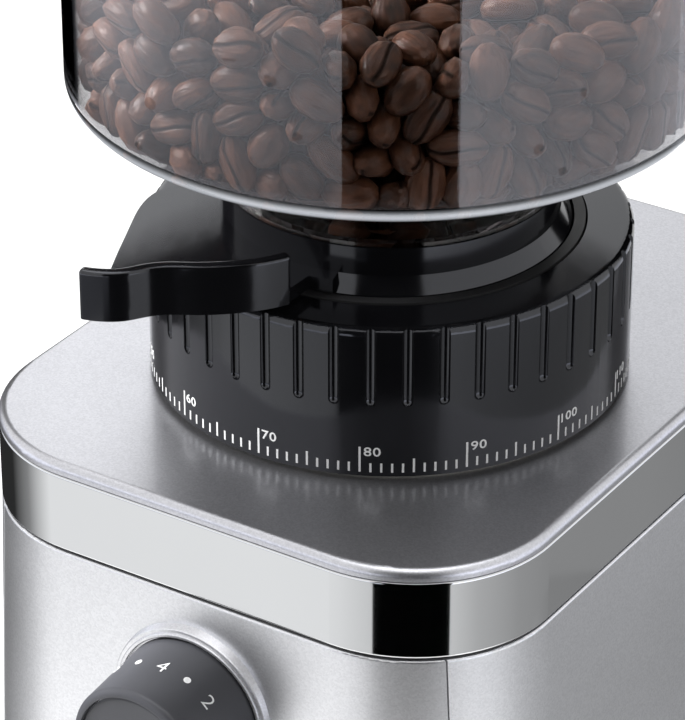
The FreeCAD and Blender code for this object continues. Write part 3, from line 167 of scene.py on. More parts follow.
def tinted(tree, factor, dark, light):
    return add(tree, "ShaderNodeMix", {
        "Factor": factor, 6: (*dark, 1.0), 7: (*light, 1.0),
    }, data_type="RGBA").outputs[2]


def bumped(tree, shader, height, strength, depth):
    bump = add(tree, "ShaderNodeBump", {"Height": height, "Strength": strength, "Distance": depth * MM})
    tree.links.new(bump.outputs["Normal"], shader.inputs["Normal"])


def metal_paint(name, dark, light, polished, dulled, metal, lacquer=0.0):
    made, tree, shader = new_material(name)
    flake = use_group(tree, FLAKE, Flakes_per_metre=2900.0, Cloud_per_metre=34.0)
    gloss = use_group(tree, SMUDGE, Patches_per_metre=26.0, Polished=polished, Dulled=dulled)
    tree.links.new(tinted(tree, flake["Tone"], dark, light), shader.inputs["Base Color"])
    tree.links.new(gloss["Roughness"], shader.inputs["Roughness"])
    set_shader(shader, Metallic=metal, Coat_Weight=lacquer, Coat_Roughness=0.08)
    bumped(tree, shader, flake["Height"], 0.05, 0.03)
    return made


def bare_metal(name, dark, light, polished, dulled, patches=40.0):
    made, tree, shader = new_material(name)
    gloss = use_group(tree, SMUDGE, Patches_per_metre=patches, Polished=polished, Dulled=dulled)
    tree.links.new(tinted(tree, gloss["Film"], dark, light), shader.inputs["Base Color"])
    tree.links.new(gloss["Roughness"], shader.inputs["Roughness"])
    set_shader(shader, Metallic=1.0)
    return made


def moulded(name, dark, light, polished, dulled, grain, strength=0.2):
    made, tree, shader = new_material(name)
    texture = use_group(tree, GRAIN, Grains_per_metre=grain)
    gloss = use_group(tree, SMUDGE, Patches_per_metre=35.0, Polished=polished, Dulled=dulled)
    tree.links.new(tinted(tree, texture["Tone"], dark, light), shader.inputs["Base Color"])
    tree.links.new(gloss["Roughness"], shader.inputs["Roughness"])
    bumped(tree, shader, texture["Height"], strength, 0.06)
    return made


def gloss_plastic(name, dark, light, polished, dulled, index=1.5):
    made, tree, shader = new_material(name)
    gloss = use_group(tree, SMUDGE, Patches_per_metre=30.0, Polished=polished, Dulled=dulled)
    tree.links.new(tinted(tree, gloss["Film"], dark, light), shader.inputs["Base Color"])
    tree.links.new(gloss["Roughness"], shader.inputs["Roughness"])
    set_shader(shader, IOR=index, Specular_Tint=(0.91, 0.93, 1.0, 1.0))
    return made


# The rounded lower edge of the hopper's wall, in millimetres, and the colour of a painted glow along it
# that stands in for the light the clear wall carries there.
EDGE_R, EDGE_LOW, EDGE_HIGH = 60.4, 231.6, 235.2
PAINTED_EDGE_GLOW = (0.46, 0.48, 0.52)


def lit_edge(tree, shader):
    """A painted glow along the hopper's lower edge, standing in for light that the clear wall carries
    there: a soft band round it.
    """
    east, north, up = add(tree, "ShaderNodeSeparateXYZ", {0: place_of(tree)}).outputs
    north = math_node(tree, "SUBTRACT", north, AXIS_Y)
    flat = add(tree, "ShaderNodeCombineXYZ", {0: east, 1: north}).outputs[0]
    away = add(tree, "ShaderNodeVectorMath", {0: flat}, operation="LENGTH").outputs["Value"]
    band = math_node(tree, "GREATER_THAN", away, EDGE_R * MM)
    middle = (EDGE_LOW + EDGE_HIGH) / 2 * MM
    for dark in (EDGE_LOW, EDGE_HIGH):
        share = add(tree, "ShaderNodeMapRange", {
            "Value": up, "From Min": dark * MM, "From Max": middle,
        }, interpolation_type="SMOOTHSTEP").outputs[0]
        band = math_node(tree, "MULTIPLY", band, share)
    tree.links.new(tinted(tree, band, (0.0, 0.0, 0.0), PAINTED_EDGE_GLOW), shader.inputs["Emission Color"])
    set_shader(shader, Emission_Strength=1.0)


def clear_plastic(name, tint, smoke, density, polished, dulled, edge=False):
    """Clear plastic, darker the thicker it is, that lets the lamps' light through to what it holds."""
    made, tree, shader = new_material(name)
    gloss = use_group(tree, SMUDGE, Patches_per_metre=22.0, Polished=polished, Dulled=dulled)
    tree.links.new(gloss["Roughness"], shader.inputs["Roughness"])
    set_shader(shader, Base_Color=(*tint, 1.0), IOR=1.49, Transmission_Weight=1.0)
    # With edge, a painted glow is added along the hopper's lower edge.
    if edge:
        lit_edge(tree, shader)
    clear = add(tree, "ShaderNodeBsdfTransparent", {"Color": (*tint, 1.0)})
    path = add(tree, "ShaderNodeLightPath")
    mix = add(tree, "ShaderNodeMixShader", {
        0: path.outputs["Is Shadow Ray"], 1: shader.outputs[0], 2: clear.outputs[0],
    })
    depth = add(tree, "ShaderNodeVolumeAbsorption", {"Color": (*smoke, 1.0), "Density": density})
    output = tree.nodes["Material Output"]
    tree.links.new(mix.outputs[0], output.inputs["Surface"])
    tree.links.new(depth.outputs[0], output.inputs["Volume"])
    return made


def printed_white():
    made, tree, shader = new_material("printed_white")
    gloss = use_group(tree, SMUDGE, Patches_per_metre=300.0, Polished=0.35, Dulled=0.5)
    white = tinted(tree, gloss["Film"], (0.92, 0.93, 0.94), (0.97, 0.97, 0.97))
    tree.links.new(white, shader.inputs["Base Color"])
    tree.links.new(gloss["Roughness"], shader.inputs["Roughness"])
    return made


# Roasts between two browns. A bean's own coordinates run from -1 to 1 along, across and up it.
DARK_ROAST, LIGHT_ROAST = (0.003, 0.0013, 0.0009), (0.120, 0.049, 0.026)
# The crease on a bean's flat side is painted near black: a painted shade of its groove.
CREASE_SHADE_BROWN = (0.002, 0.001, 0.0007, 1.0)
CREASE_TURN, CREASE_SWAY, CREASE_SHADE_SHARE, CREASE_SIDE = 2.6, 0.11, 0.85, -0.12
FOLDS = (1.0, 3.2, 3.2)
FOLD_DEPTH, FOLD_SHIFT = 1.7, 37.0


def bean_crease(tree, spot):
    """1 on the wavy line along a bean's flat side, 0 beside it and on the round back."""
    along, across, up = add(tree, "ShaderNodeSeparateXYZ", {0: spot}).outputs
    wave = math_node(tree, "SINE", math_node(tree, "MULTIPLY", along, CREASE_TURN))
    line = math_node(tree, "ABSOLUTE", math_node(tree, "MULTIPLY_ADD", wave, CREASE_SWAY, across))
    crease = add(tree, "ShaderNodeMapRange", {
        "Value": line, "From Min": 0.03, "From Max": 0.17, "To Min": 1.0, "To Max": 0.0,
    }, interpolation_type="SMOOTHSTEP").outputs[0]
    belly = math_node(tree, "LESS_THAN", up, CREASE_SIDE)
    return math_node(tree, "MULTIPLY", crease, belly)


def bean_folds(tree, spot, roast, place):
    """Wrinkles along a bean, other ones on each bean."""
    stretched = add(tree, "ShaderNodeVectorMath", {
        0: spot, 1: FOLDS, 2: place,
    }, operation="MULTIPLY_ADD").outputs["Vector"]
    shifted = math_node(tree, "MULTIPLY", roast, FOLD_SHIFT)
    return add(tree, "ShaderNodeTexNoise", {
        "Vector": stretched, "W": shifted, "Scale": 1.0, "Detail": 1.0,
    }, noise_dimensions="4D").outputs["Fac"]


def roasted_bean():
    """Roasted coffee: mottled brown skin, a crease on the flat side that a bump sinks and that is painted
    near black as its shade, and a faint oily gloss.
    """
    made, tree, shader = new_material("roasted_bean")
    spot = add(tree, "ShaderNodeAttribute", attribute_name="bean_place").outputs["Vector"]
    roast = add(tree, "ShaderNodeAttribute", attribute_name="bean_roast").outputs["Fac"]
    place = place_of(tree)
    crease = bean_crease(tree, spot)
    folds = bean_folds(tree, spot, roast, place)
    grain = add(tree, "ShaderNodeTexNoise", {"Vector": place, "Scale": 340.0, "Detail": 3.0}).outputs["Fac"]
    skin = math_node(tree, "MULTIPLY", math_node(tree, "ADD", grain, folds), 0.5)
    mottle = math_node(tree, "MULTIPLY_ADD", skin, 1.5, math_node(tree, "MULTIPLY", roast, 0.5))
    brown = tinted(tree, math_node(tree, "SUBTRACT", mottle, 0.52), DARK_ROAST, LIGHT_ROAST)
    # Painted shade: the crease is darkened towards near black.
    colour = add(tree, "ShaderNodeMix", {
        "Factor": math_node(tree, "MULTIPLY", crease, CREASE_SHADE_SHARE), 6: brown, 7: CREASE_SHADE_BROWN,
    }, data_type="RGBA").outputs[2]
    tree.links.new(colour, shader.inputs["Base Color"])
    dull = add(tree, "ShaderNodeMapRange", {"Value": skin, "To Min": 0.28, "To Max": 0.52}).outputs[0]
    tree.links.new(math_node(tree, "MAXIMUM", dull, crease), shader.inputs["Roughness"])
    height = math_node(tree, "SUBTRACT", math_node(tree, "MULTIPLY", folds, FOLD_DEPTH), crease)
    set_shader(shader, Specular_IOR_Level=0.3)
    bumped(tree, shader, height, 0.5, 0.6)
    return made


def toned(make, dark, light, polished, dulled, **more):
    """How a finish is made: its two tones, its two levels of roughness and what else it needs."""
    return make, {"dark": dark, "light": light, "polished": polished, "dulled": dulled, **more}


SMOKE = {
    "tint": (0.97, 0.97, 0.97), "smoke": (0.40, 0.38, 0.39), "density": 110.0,
    "polished": 0.0, "dulled": 0.03,
}
# The finish of each material slot of the CAD nodes.
RECIPES = {
    "silver_paint": toned(
        metal_paint, (0.73, 0.73, 0.747), (0.865, 0.865, 0.883), 0.34, 0.39, metal=0.95),
    "chrome_trim": toned(
        bare_metal, (0.70, 0.705, 0.71), (0.74, 0.745, 0.75), 0.05, 0.08, patches=18.0),
    "gloss_black": toned(
        gloss_plastic, (0.004, 0.004, 0.005), (0.006, 0.006, 0.007), 0.09, 0.15, index=1.64),
    "black_moulding": toned(
        moulded, (0.014, 0.014, 0.015), (0.024, 0.024, 0.025), 0.42, 0.55, grain=1500.0),
    "smoke_clear": (clear_plastic, SMOKE),
    "dial_grey": toned(
        moulded, (0.050, 0.051, 0.058), (0.068, 0.069, 0.078), 0.36, 0.46, grain=2400.0, strength=0.10),
    "nylon": toned(
        moulded, (0.62, 0.60, 0.53), (0.72, 0.70, 0.63), 0.45, 0.60, grain=900.0, strength=0.10),
    "tool_steel": toned(
        bare_metal, (0.42, 0.42, 0.43), (0.56, 0.56, 0.57), 0.20, 0.34, patches=120.0),
    "zinc_steel": toned(
        bare_metal, (0.50, 0.51, 0.53), (0.66, 0.67, 0.68), 0.26, 0.42, patches=90.0),
    "plate_metal": toned(
        bare_metal, (0.52, 0.52, 0.53), (0.62, 0.62, 0.63), 0.38, 0.52, patches=55.0),
    "magnet": toned(
        moulded, (0.045, 0.045, 0.048), (0.075, 0.075, 0.080), 0.50, 0.65, grain=1800.0, strength=0.15),
    "copper": toned(
        bare_metal, (0.66, 0.28, 0.15), (0.80, 0.38, 0.22), 0.22, 0.38, patches=140.0),
    "carbon": toned(
        moulded, (0.020, 0.020, 0.021), (0.035, 0.035, 0.036), 0.55, 0.70, grain=2600.0, strength=0.15),
    "board_green": toned(
        gloss_plastic, (0.010, 0.085, 0.035), (0.020, 0.130, 0.055), 0.30, 0.42),
    "rubber": toned(
        moulded, (0.016, 0.016, 0.016), (0.026, 0.026, 0.026), 0.68, 0.82, grain=1100.0, strength=0.25),
}
FINISH = {name: make(name, **values) for name, (make, values) in RECIPES.items()}
# Two nodes have a finish of their own: a darker, lacquered paint on the cover, and on the hopper a clear
# plastic with a painted glow along its lower edge.
OWN_FINISH = {
    "top_cover": metal_paint(
        "cover_paint", (0.545, 0.545, 0.578), (0.67, 0.67, 0.705), 0.32, 0.37, metal=0.94, lacquer=0.5),
    "hopper_bowl": clear_plastic("hopper_clear_painted_glow", **SMOKE, edge=True),
}
PRINT = printed_white()
BEAN = roasted_bean()


def finish_nodes():
    """Gives every CAD node the finish of its own material slot, or its own finish."""
    for name, piece in nodes.items():
        for index, old in enumerate(piece.data.materials):
            key = old.name.split(".")[0]
            piece.data.materials[index] = OWN_FINISH.get(name, FINISH[key])


def scene_object(name, data):
    made = bpy.data.objects.new(name, data)
    bpy.context.scene.collection.objects.link(made)
    return made


def made_by_nodes(name, tree, values, start, body):
    """Runs a geometry tree on a starting mesh and keeps its result as a plain mesh on a body."""
    source = scene_object(name + "_source", start)
    modifier = source.modifiers.new(name, "NODES")
    modifier.node_group = tree
    for item in tree.interface.items_tree:
        if item.in_out == "INPUT" and item.name in values:
            modifier[item.identifier] = values[item.name]
    depsgraph = bpy.context.evaluated_depsgraph_get()
    result = bpy.data.meshes.new_from_object(source.evaluated_get(depsgraph), depsgraph=depsgraph)
    source.modifiers.remove(modifier)
    bpy.data.objects.remove(source)
    result.name = name
    made = scene_object(name, result)
    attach(made, body)


def scale_tree():
    """Upright marks round a cylinder: short ones, longer fifths and longest tenths."""
    tree, given, out = group_tree("ring_scale_marks", "GeometryNodeTree", [
        ("Geometry", "NodeSocketGeometry", None),
        ("Count", "NodeSocketInt", 141),
        ("First angle", "NodeSocketFloat", 0.0),
        ("Step angle", "NodeSocketFloat", 0.04),
        ("Radius", "NodeSocketFloat", 0.0475),
        ("Foot", "NodeSocketFloat", 0.1719),
        ("Short", "NodeSocketFloat", 0.002),
        ("Fifth", "NodeSocketFloat", 0.003),
        ("Tenth", "NodeSocketFloat", 0.0054),
        ("Width", "NodeSocketFloat", 0.0004),
        ("Depth", "NodeSocketFloat", 0.00012),
        ("Centre y", "NodeSocketFloat", 0.0),
        ("Ink", "NodeSocketMaterial", None),
    ], [("Geometry", "NodeSocketGeometry")])
    index = add(tree, "GeometryNodeInputIndex").outputs[0]
    angle = math_node(tree, "MULTIPLY_ADD", index, given["Step angle"], given["First angle"])
    east = math_node(tree, "MULTIPLY", math_node(tree, "COSINE", angle), given["Radius"])
    north = math_node(tree, "MULTIPLY", math_node(tree, "SINE", angle), given["Radius"])
    north = math_node(tree, "ADD", north, given["Centre y"])
    fifth = math_node(tree, "LESS_THAN", math_node(tree, "MODULO", index, 5.0), 0.5)
    tenth = math_node(tree, "LESS_THAN", math_node(tree, "MODULO", index, 10.0), 0.5)
    taller = add(tree, "ShaderNodeMix", {0: fifth, 2: given["Short"], 3: given["Fifth"]}).outputs[0]
    tall = add(tree, "ShaderNodeMix", {0: tenth, 2: taller, 3: given["Tenth"]}).outputs[0]
    middle = math_node(tree, "MULTIPLY_ADD", tall, 0.5, given["Foot"])
    spot = add(tree, "ShaderNodeCombineXYZ", {0: east, 1: north, 2: middle}).outputs[0]
    points = add(tree, "GeometryNodePoints", {"Count": given["Count"], "Position": spot}).outputs[0]
    mark = add(tree, "GeometryNodeMeshCube").outputs["Mesh"]
    size = add(tree, "ShaderNodeCombineXYZ", {0: given["Depth"], 1: given["Width"], 2: tall}).outputs[0]
    turn = add(tree, "ShaderNodeCombineXYZ", {2: angle}).outputs[0]
    placed = add(tree, "GeometryNodeInstanceOnPoints", {
        "Points": points, "Instance": mark, "Rotation": turn, "Scale": size,
    }).outputs[0]
    solid = add(tree, "GeometryNodeRealizeInstances", {"Geometry": placed}).outputs[0]
    inked = add(tree, "GeometryNodeSetMaterial", {"Geometry": solid, "Material": given["Ink"]}).outputs[0]
    tree.links.new(inked, out["Geometry"])
    return tree


# Print on the ring: one unit turns by UNIT_TURN, and unit 80 stands at UNIT_80.
UNIT_TURN = math.radians(2.47)
UNIT_80 = math.radians(-64.58)
UNITS = 140
SCALE_FOOT = COVER_Z + 1.9 * MM
TENTH_TOP = COVER_Z + 7.3 * MM
SHORT_MARK, FIFTH_MARK, TENTH_MARK = 1.95 * MM, 3.0 * MM, 5.4 * MM
MARK_WIDTH, RING_INK = 0.42 * MM, 0.10 * MM
RING_FIGURE, FIGURE_GAP = 1.95 * MM, 0.75 * MM
# Figures and dots are sunk by this much, so that no gap shows under them.
INK_SUNK = 0.05 * MM


def ring_scale():
    start = bpy.data.meshes.new("ring_scale_start")
    made_by_nodes("ring_scale", scale_tree(), {
        "Count": UNITS + 1,
        "First angle": UNIT_80 - 80 * UNIT_TURN,
        "Step angle": UNIT_TURN,
        "Radius": RING_R,
        "Foot": SCALE_FOOT,
        "Short": SHORT_MARK,
        "Fifth": FIFTH_MARK,
        "Tenth": TENTH_MARK,
        "Width": MARK_WIDTH,
        "Depth": RING_INK,
        "Centre y": AXIS_Y,
        "Ink": PRINT,
    }, start, "ring")


def figures(text, height, stretch, thick, bold):
    """A number as flat raised figures: corners with x and y from the lower left, z from the back."""
    curve = bpy.data.curves.new("figures_" + text, "FONT")
    curve.body = text
    curve.resolution_u = 3
    curve.extrude = 0.5
    curve.offset = bold
    curve.space_character = 1.08
    source = scene_object("figures_" + text, curve)
    depsgraph = bpy.context.evaluated_depsgraph_get()
    mesh = bpy.data.meshes.new_from_object(source.evaluated_get(depsgraph))
    bpy.data.objects.remove(source)
    bpy.data.curves.remove(curve)
    corners = np.array([corner.co for corner in mesh.vertices])
    corners -= corners.min(axis=0)
    corners *= np.array((stretch, 1.0, 1.0)) * height / corners[:, 1].max()
    corners[:, 2] *= thick / corners[:, 2].max()
    faces = [tuple(face.vertices) for face in mesh.polygons]
    bpy.data.meshes.remove(mesh)
    return corners, faces


def joined(name, lots, material, body):
    """One mesh from several lots of corners and faces, on a body."""
    corners, faces = [], []
    for lot_corners, lot_faces in lots:
        first = len(corners)
        corners.extend(lot_corners)
        faces.extend([tuple(first + index for index in face) for face in lot_faces])
    mesh = bpy.data.meshes.new(name)
    mesh.from_pydata(corners, [], faces)
    mesh.materials.append(material)
    mesh.validate()
    made = scene_object(name, mesh)
    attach(made, body)


def ring_numbers():
    """The tens on the ring, each just right of its long mark."""
    lots = []
    for unit in range(0, UNITS + 1, 10):
        corners, faces = figures(str(unit), RING_FIGURE, 1.2, RING_INK, 0.012)
        angle = UNIT_80 + (unit - 80) * UNIT_TURN + (corners[:, 0] + FIGURE_GAP) / RING_R
        radius = RING_R - INK_SUNK + corners[:, 2]
        height = TENTH_TOP - RING_FIGURE + corners[:, 1]
        bent = np.stack((radius * np.cos(angle), AXIS_Y + radius * np.sin(angle), height), axis=1)
        lots.append((bent.tolist(), faces))
    joined("ring_numbers", lots, PRINT, "ring")


def dot(radius, thick):
    """A round raised spot about the origin, as corners and faces."""
    steps = 20
    turn = np.linspace(0, 2 * math.pi, steps, endpoint=False)
    flat = np.stack((radius * np.cos(turn), radius * np.sin(turn)), axis=1)
    corners = [(x, y, z) for z in (0.0, thick) for x, y in flat]
    faces = [tuple(reversed(range(steps))), tuple(range(steps, 2 * steps))]
    for index in range(steps):
        after = (index + 1) % steps
        faces.append((index, after, steps + after, steps + index))
    return np.array(corners), faces


# Print on the dial: numbers and dots follow each other by DIAL_STEP.
DIAL_STEP = math.radians(22.0)
DIAL_NUMBERS = (2, 4, 6, 8, 10, 12)
DIAL_MARK_Y = AXIS_Y - 79.5 * MM
DIAL_TAPER, DIAL_INK = 1.25 * MM, 0.12 * MM
DIAL_FIGURE, DOT_R = 3.0 * MM, 0.75 * MM


def on_dial(corners, turn):
    """Bends flat corners round the dial's tapered rim, at a turn from its top."""
    along = DIAL_MARK_Y + corners[:, 1]
    share = (dial_high.y - along) / (dial_high.y - dial_low.y)
    radius = DIAL_R - DIAL_TAPER * share - INK_SUNK + corners[:, 2]
    angle = turn + corners[:, 0] / DIAL_R
    return np.stack((radius * np.sin(angle), along, DIAL_Z + radius * np.cos(angle)), axis=1).tolist()


def dial_marks():
    """Even numbers and the dots between them, printed on the dial's rim."""
    lots = []
    for index, number in enumerate(DIAL_NUMBERS):
        turn = DIAL_STEP * (2 - 2 * index)
        corners, faces = figures(str(number), DIAL_FIGURE, 1.1, DIAL_INK, -0.010)
        corners[:, :2] -= corners[:, :2].max(axis=0) / 2
        lots.append((on_dial(corners, turn), faces))
        if number < DIAL_NUMBERS[-1]:
            corners, faces = dot(DOT_R, DIAL_INK)
            lots.append((on_dial(corners, turn - DIAL_STEP), faces))
    joined("dial_marks", lots, PRINT, "knob")


# Inside of the hopper, from the neck's floor to the fill, in millimetres about the burr axis.
NECK_R, NECK_FLOOR, FUNNEL_LOW = 28.1, 197.4, 215.8
WALL_R, FUNNEL_HIGH, FILL = 60.0, 234.4, 287.0
# A bean settles as two round ends a span apart, which keep a gap to the wall and the funnel.
BEAN_R, BEAN_SPAN, WALL_GAP, FUNNEL_GAP = 3.4, 3.9, 3.4, 3.0
# Beans are poured in loose layers, a little out of line and lying rather flat.
BEAN_COUNT, BEAN_PITCH, LAYER_SHARE = 1480, 7.8, 0.82
BEAN_JITTER, LIE_FLAT, POUR_GAP, POUR_HEIGHT = 1.9, 0.5, 4.0, 20.0
# They fall, spread outwards and push each other off; the last steps are slow.
FALL, SLOW_FALL, SLOW_FROM, SPREAD = 0.5, 0.08, 0.75, 1.0015
PUSH_SHARE, PAIR_MARGIN, PAIR_EVERY = 0.42, 1.2, 4
QUICK_STEPS, FULL_STEPS = 40, 150
# Beans this near the wall turn a side to it; those deeper than HIDDEN_DEPTH never show and are left out.
SIDE_DEPTH, SIDE_DROP, SIDE_SCATTER, FACING_SHARES = 9.0, -1.2, 0.25, (0.45, 0.55)
HIDDEN_DEPTH = 17.0
# A bean's own size, the share of its height at which the belly is flat, and its fuller back.
BEAN_LENGTH, BEAN_WIDTH, BEAN_HEIGHT = 10.6 * MM, 7.6 * MM, 5.5 * MM
BELLY, BACK = -0.62, 1.2
SMALLEST, LARGEST = (0.9, 0.92, 0.92), (1.1, 1.08, 1.08)


def near_pairs(points, reach):
    """Pairs of round ends of different beans that lie within reach of each other."""
    tree = KDTree(len(points))
    for index, point in enumerate(points):
        tree.insert(point, index)
    tree.balance()
    half = len(points) // 2
    pairs = []
    for index, point in enumerate(points):
        for _, other, _ in tree.find_range(point, reach):
            if other > index and (other - index) != half:
                pairs.append((index, other))
    return np.array(pairs).T


def keep_inside(ends):
    """Moves the beans' round ends back inside the hopper's wall, funnel, neck and floor."""
    lean = np.array((WALL_R - NECK_R, FUNNEL_HIGH - FUNNEL_LOW))
    lean /= np.linalg.norm(lean)
    radius = np.hypot(ends[:, 0], ends[:, 1])
    out_x = ends[:, 0] / np.maximum(radius, 1e-6)
    out_y = ends[:, 1] / np.maximum(radius, 1e-6)
    limit = np.where(ends[:, 2] > FUNNEL_LOW, WALL_R, NECK_R) - WALL_GAP
    new_radius = np.minimum(radius, limit)
    gap = (ends[:, 2] - FUNNEL_LOW) * lean[0] - (new_radius - NECK_R) * lean[1] - FUNNEL_GAP
    sunk = np.where((ends[:, 2] > FUNNEL_LOW) & (gap < 0), -gap, 0.0)
    new_radius = np.maximum(new_radius - sunk * lean[1], 0.0)
    ends[:, 0] = out_x * new_radius
    ends[:, 1] = out_y * new_radius
    ends[:, 2] = np.maximum(ends[:, 2] + sunk * lean[0], NECK_FLOOR + BEAN_R)


def settled_beans(steps):
    """Lets beans, each two round ends a fixed span apart, settle in the hopper."""
    rng = np.random.default_rng(11)
    layers = np.arange(NECK_FLOOR + POUR_GAP, FILL + POUR_HEIGHT, BEAN_PITCH * LAYER_SHARE)
    reach = np.arange(-WALL_R, WALL_R + BEAN_PITCH, BEAN_PITCH)
    spots = np.array([(x, y, z) for z in layers for x in reach for y in reach])
    spots += rng.uniform(-BEAN_JITTER, BEAN_JITTER, spots.shape)
    room = np.interp(spots[:, 2], (NECK_FLOOR, FUNNEL_LOW, FUNNEL_HIGH), (NECK_R, NECK_R, WALL_R))
    spots = spots[np.hypot(spots[:, 0], spots[:, 1]) < room - POUR_GAP][:BEAN_COUNT]
    lie = rng.normal(size=spots.shape)
    lie[:, 2] *= LIE_FLAT
    lie *= BEAN_SPAN / 2 / np.linalg.norm(lie, axis=1, keepdims=True)
    ends = np.concatenate((spots - lie, spots + lie))
    half = len(spots)
    for step in range(steps):
        ends[:, 2] -= FALL if step < steps * SLOW_FROM else SLOW_FALL
        ends[:, :2] *= SPREAD
        if step % PAIR_EVERY == 0:
            first, second = near_pairs(ends, BEAN_R * 2 + PAIR_MARGIN)
        for _ in range(2):
            apart = ends[first] - ends[second]
            length = np.maximum(np.linalg.norm(apart, axis=1, keepdims=True), 1e-6)
            push = apart / length * np.maximum(BEAN_R * 2 - length, 0.0) * PUSH_SHARE
            np.add.at(ends, first, push)
            np.add.at(ends, second, -push)
            axis = ends[half:] - ends[:half]
            length = np.linalg.norm(axis, axis=1, keepdims=True)
            pull = axis / length * (length - BEAN_SPAN) / 2
            ends[:half] += pull
            ends[half:] -= pull
            keep_inside(ends)
    return (ends[:half] + ends[half:]) / 2, ends[half:] - ends[:half], rng


def bean_sides(centres, axes, rng):
    """Which way each bean's flat side faces: towards or away from the wall beside it."""
    out = centres * np.array((1.0, 1.0, 0.0))
    low = centres[:, 2] < FUNNEL_HIGH
    out /= np.maximum(np.linalg.norm(out, axis=1, keepdims=True), 1e-6)
    out[low, 2] = SIDE_DROP
    near = np.hypot(centres[:, 0], centres[:, 1]) > WALL_R - SIDE_DEPTH
    side = rng.normal(size=centres.shape)
    facing = rng.choice((-1.0, 1.0), size=len(centres), p=FACING_SHARES)
    wanted = out * facing[:, None] + SIDE_SCATTER * side
    side = np.where((near | low)[:, None], wanted, side)
    axes = axes / np.linalg.norm(axes, axis=1, keepdims=True)
    side -= axes * np.sum(side * axes, axis=1, keepdims=True)
    return axes, side / np.linalg.norm(side, axis=1, keepdims=True)


def bean_tree():
    """A bean at every point: a rounded back, a flatter belly, its own size and roast."""
    tree, given, out = group_tree("hopper_beans", "GeometryNodeTree", [
        ("Geometry", "NodeSocketGeometry", None),
        ("Length", "NodeSocketFloat", 0.0104),
        ("Width", "NodeSocketFloat", 0.0076),
        ("Height", "NodeSocketFloat", 0.0056),
        ("Seed", "NodeSocketInt", 5),
        ("Roast", "NodeSocketMaterial", None),
    ], [("Geometry", "NodeSocketGeometry")])
    ball = add(tree, "GeometryNodeMeshUVSphere", {"Segments": 9, "Rings": 7, "Radius": 1.0}).outputs["Mesh"]
    position = add(tree, "GeometryNodeInputPosition").outputs[0]
    turned = add(tree, "ShaderNodeCombineXYZ")
    x, y, z = add(tree, "ShaderNodeSeparateXYZ", {0: position}).outputs
    for source, target in ((z, 0), (x, 1), (y, 2)):
        tree.links.new(source, turned.inputs[target])
    ball = add(tree, "GeometryNodeSetPosition", {
        "Geometry": ball, "Position": turned.outputs[0],
    }).outputs[0]
    named = add(tree, "GeometryNodeStoreNamedAttribute", {
        "Geometry": ball, "Name": "bean_place", "Value": position,
    }, data_type="FLOAT_VECTOR").outputs[0]
    along, across, up = add(tree, "ShaderNodeSeparateXYZ", {0: position}).outputs
    belly = math_node(tree, "MAXIMUM", up, BELLY)
    half = [math_node(tree, "MULTIPLY", given[name], 0.5) for name in ("Length", "Width", "Height")]
    shape = add(tree, "ShaderNodeCombineXYZ", {
        0: math_node(tree, "MULTIPLY", along, half[0]),
        1: math_node(tree, "MULTIPLY", across, half[1]),
        2: math_node(tree, "MULTIPLY", belly, math_node(tree, "MULTIPLY", half[2], BACK)),
    }).outputs[0]
    bean = add(tree, "GeometryNodeSetPosition", {"Geometry": named, "Position": shape}).outputs[0]
    bean = add(tree, "GeometryNodeSetShadeSmooth", {0: bean}).outputs[0]
    lie, side = [
        add(tree, "GeometryNodeInputNamedAttribute", {"Name": name}, data_type="FLOAT_VECTOR").outputs[0]
        for name in ("bean_axis", "bean_side")
    ]
    turn = add(tree, "FunctionNodeAxesToRotation", {
        0: lie, 1: side,
    }, primary_axis="X", secondary_axis="Z").outputs[0]
    size = add(tree, "FunctionNodeRandomValue", {
        "Min": SMALLEST, "Max": LARGEST, "Seed": given["Seed"],
    }, data_type="FLOAT_VECTOR").outputs[0]
    placed = add(tree, "GeometryNodeInstanceOnPoints", {
        "Points": given["Geometry"], "Instance": bean, "Rotation": turn, "Scale": size,
    }).outputs[0]
    solid = add(tree, "GeometryNodeRealizeInstances", {"Geometry": placed}).outputs[0]
    for name in ("bean_axis", "bean_side"):
        solid = add(tree, "GeometryNodeRemoveAttribute", {"Geometry": solid, "Name": name}).outputs[0]
    dressed = add(tree, "GeometryNodeSetMaterial", {
        "Geometry": solid, "Material": given["Roast"],
    }).outputs[0]
    tree.links.new(dressed, out["Geometry"])
    return tree


def in_sight(centres):
    """True for beans near the hopper's wall, its funnel or the top of the heap."""
    radius = np.hypot(centres[:, 0], centres[:, 1])
    room = np.interp(centres[:, 2], (FUNNEL_LOW, FUNNEL_HIGH), (NECK_R, WALL_R))
    top = np.percentile(centres[:, 2], 99)
    return (radius > room - HIDDEN_DEPTH) | (centres[:, 2] > top - HIDDEN_DEPTH)


def hopper_beans():
    centres, axes, rng = settled_beans(FULL_STEPS)
    axes, sides = bean_sides(centres, axes, rng)
    shown = in_sight(centres)
    centres, axes, sides = centres[shown], axes[shown], sides[shown]
    start = bpy.data.meshes.new("bean_places")
    start.from_pydata(((centres + (0.0, AXIS_Y / MM, 0.0)) * MM).tolist(), [], [])
    for name, values in (("bean_axis", axes), ("bean_side", sides)):
        start.attributes.new(name, "FLOAT_VECTOR", "POINT").data.foreach_set("vector", values.ravel())
    roast = start.attributes.new("bean_roast", "FLOAT", "POINT")
    roast.data.foreach_set("value", rng.uniform(0.0, 1.0, len(centres)))
    made_by_nodes("hopper_beans", bean_tree(), {
        "Length": BEAN_LENGTH, "Width": BEAN_WIDTH, "Height": BEAN_HEIGHT, "Seed": 5, "Roast": BEAN,
    }, start, "hopper")


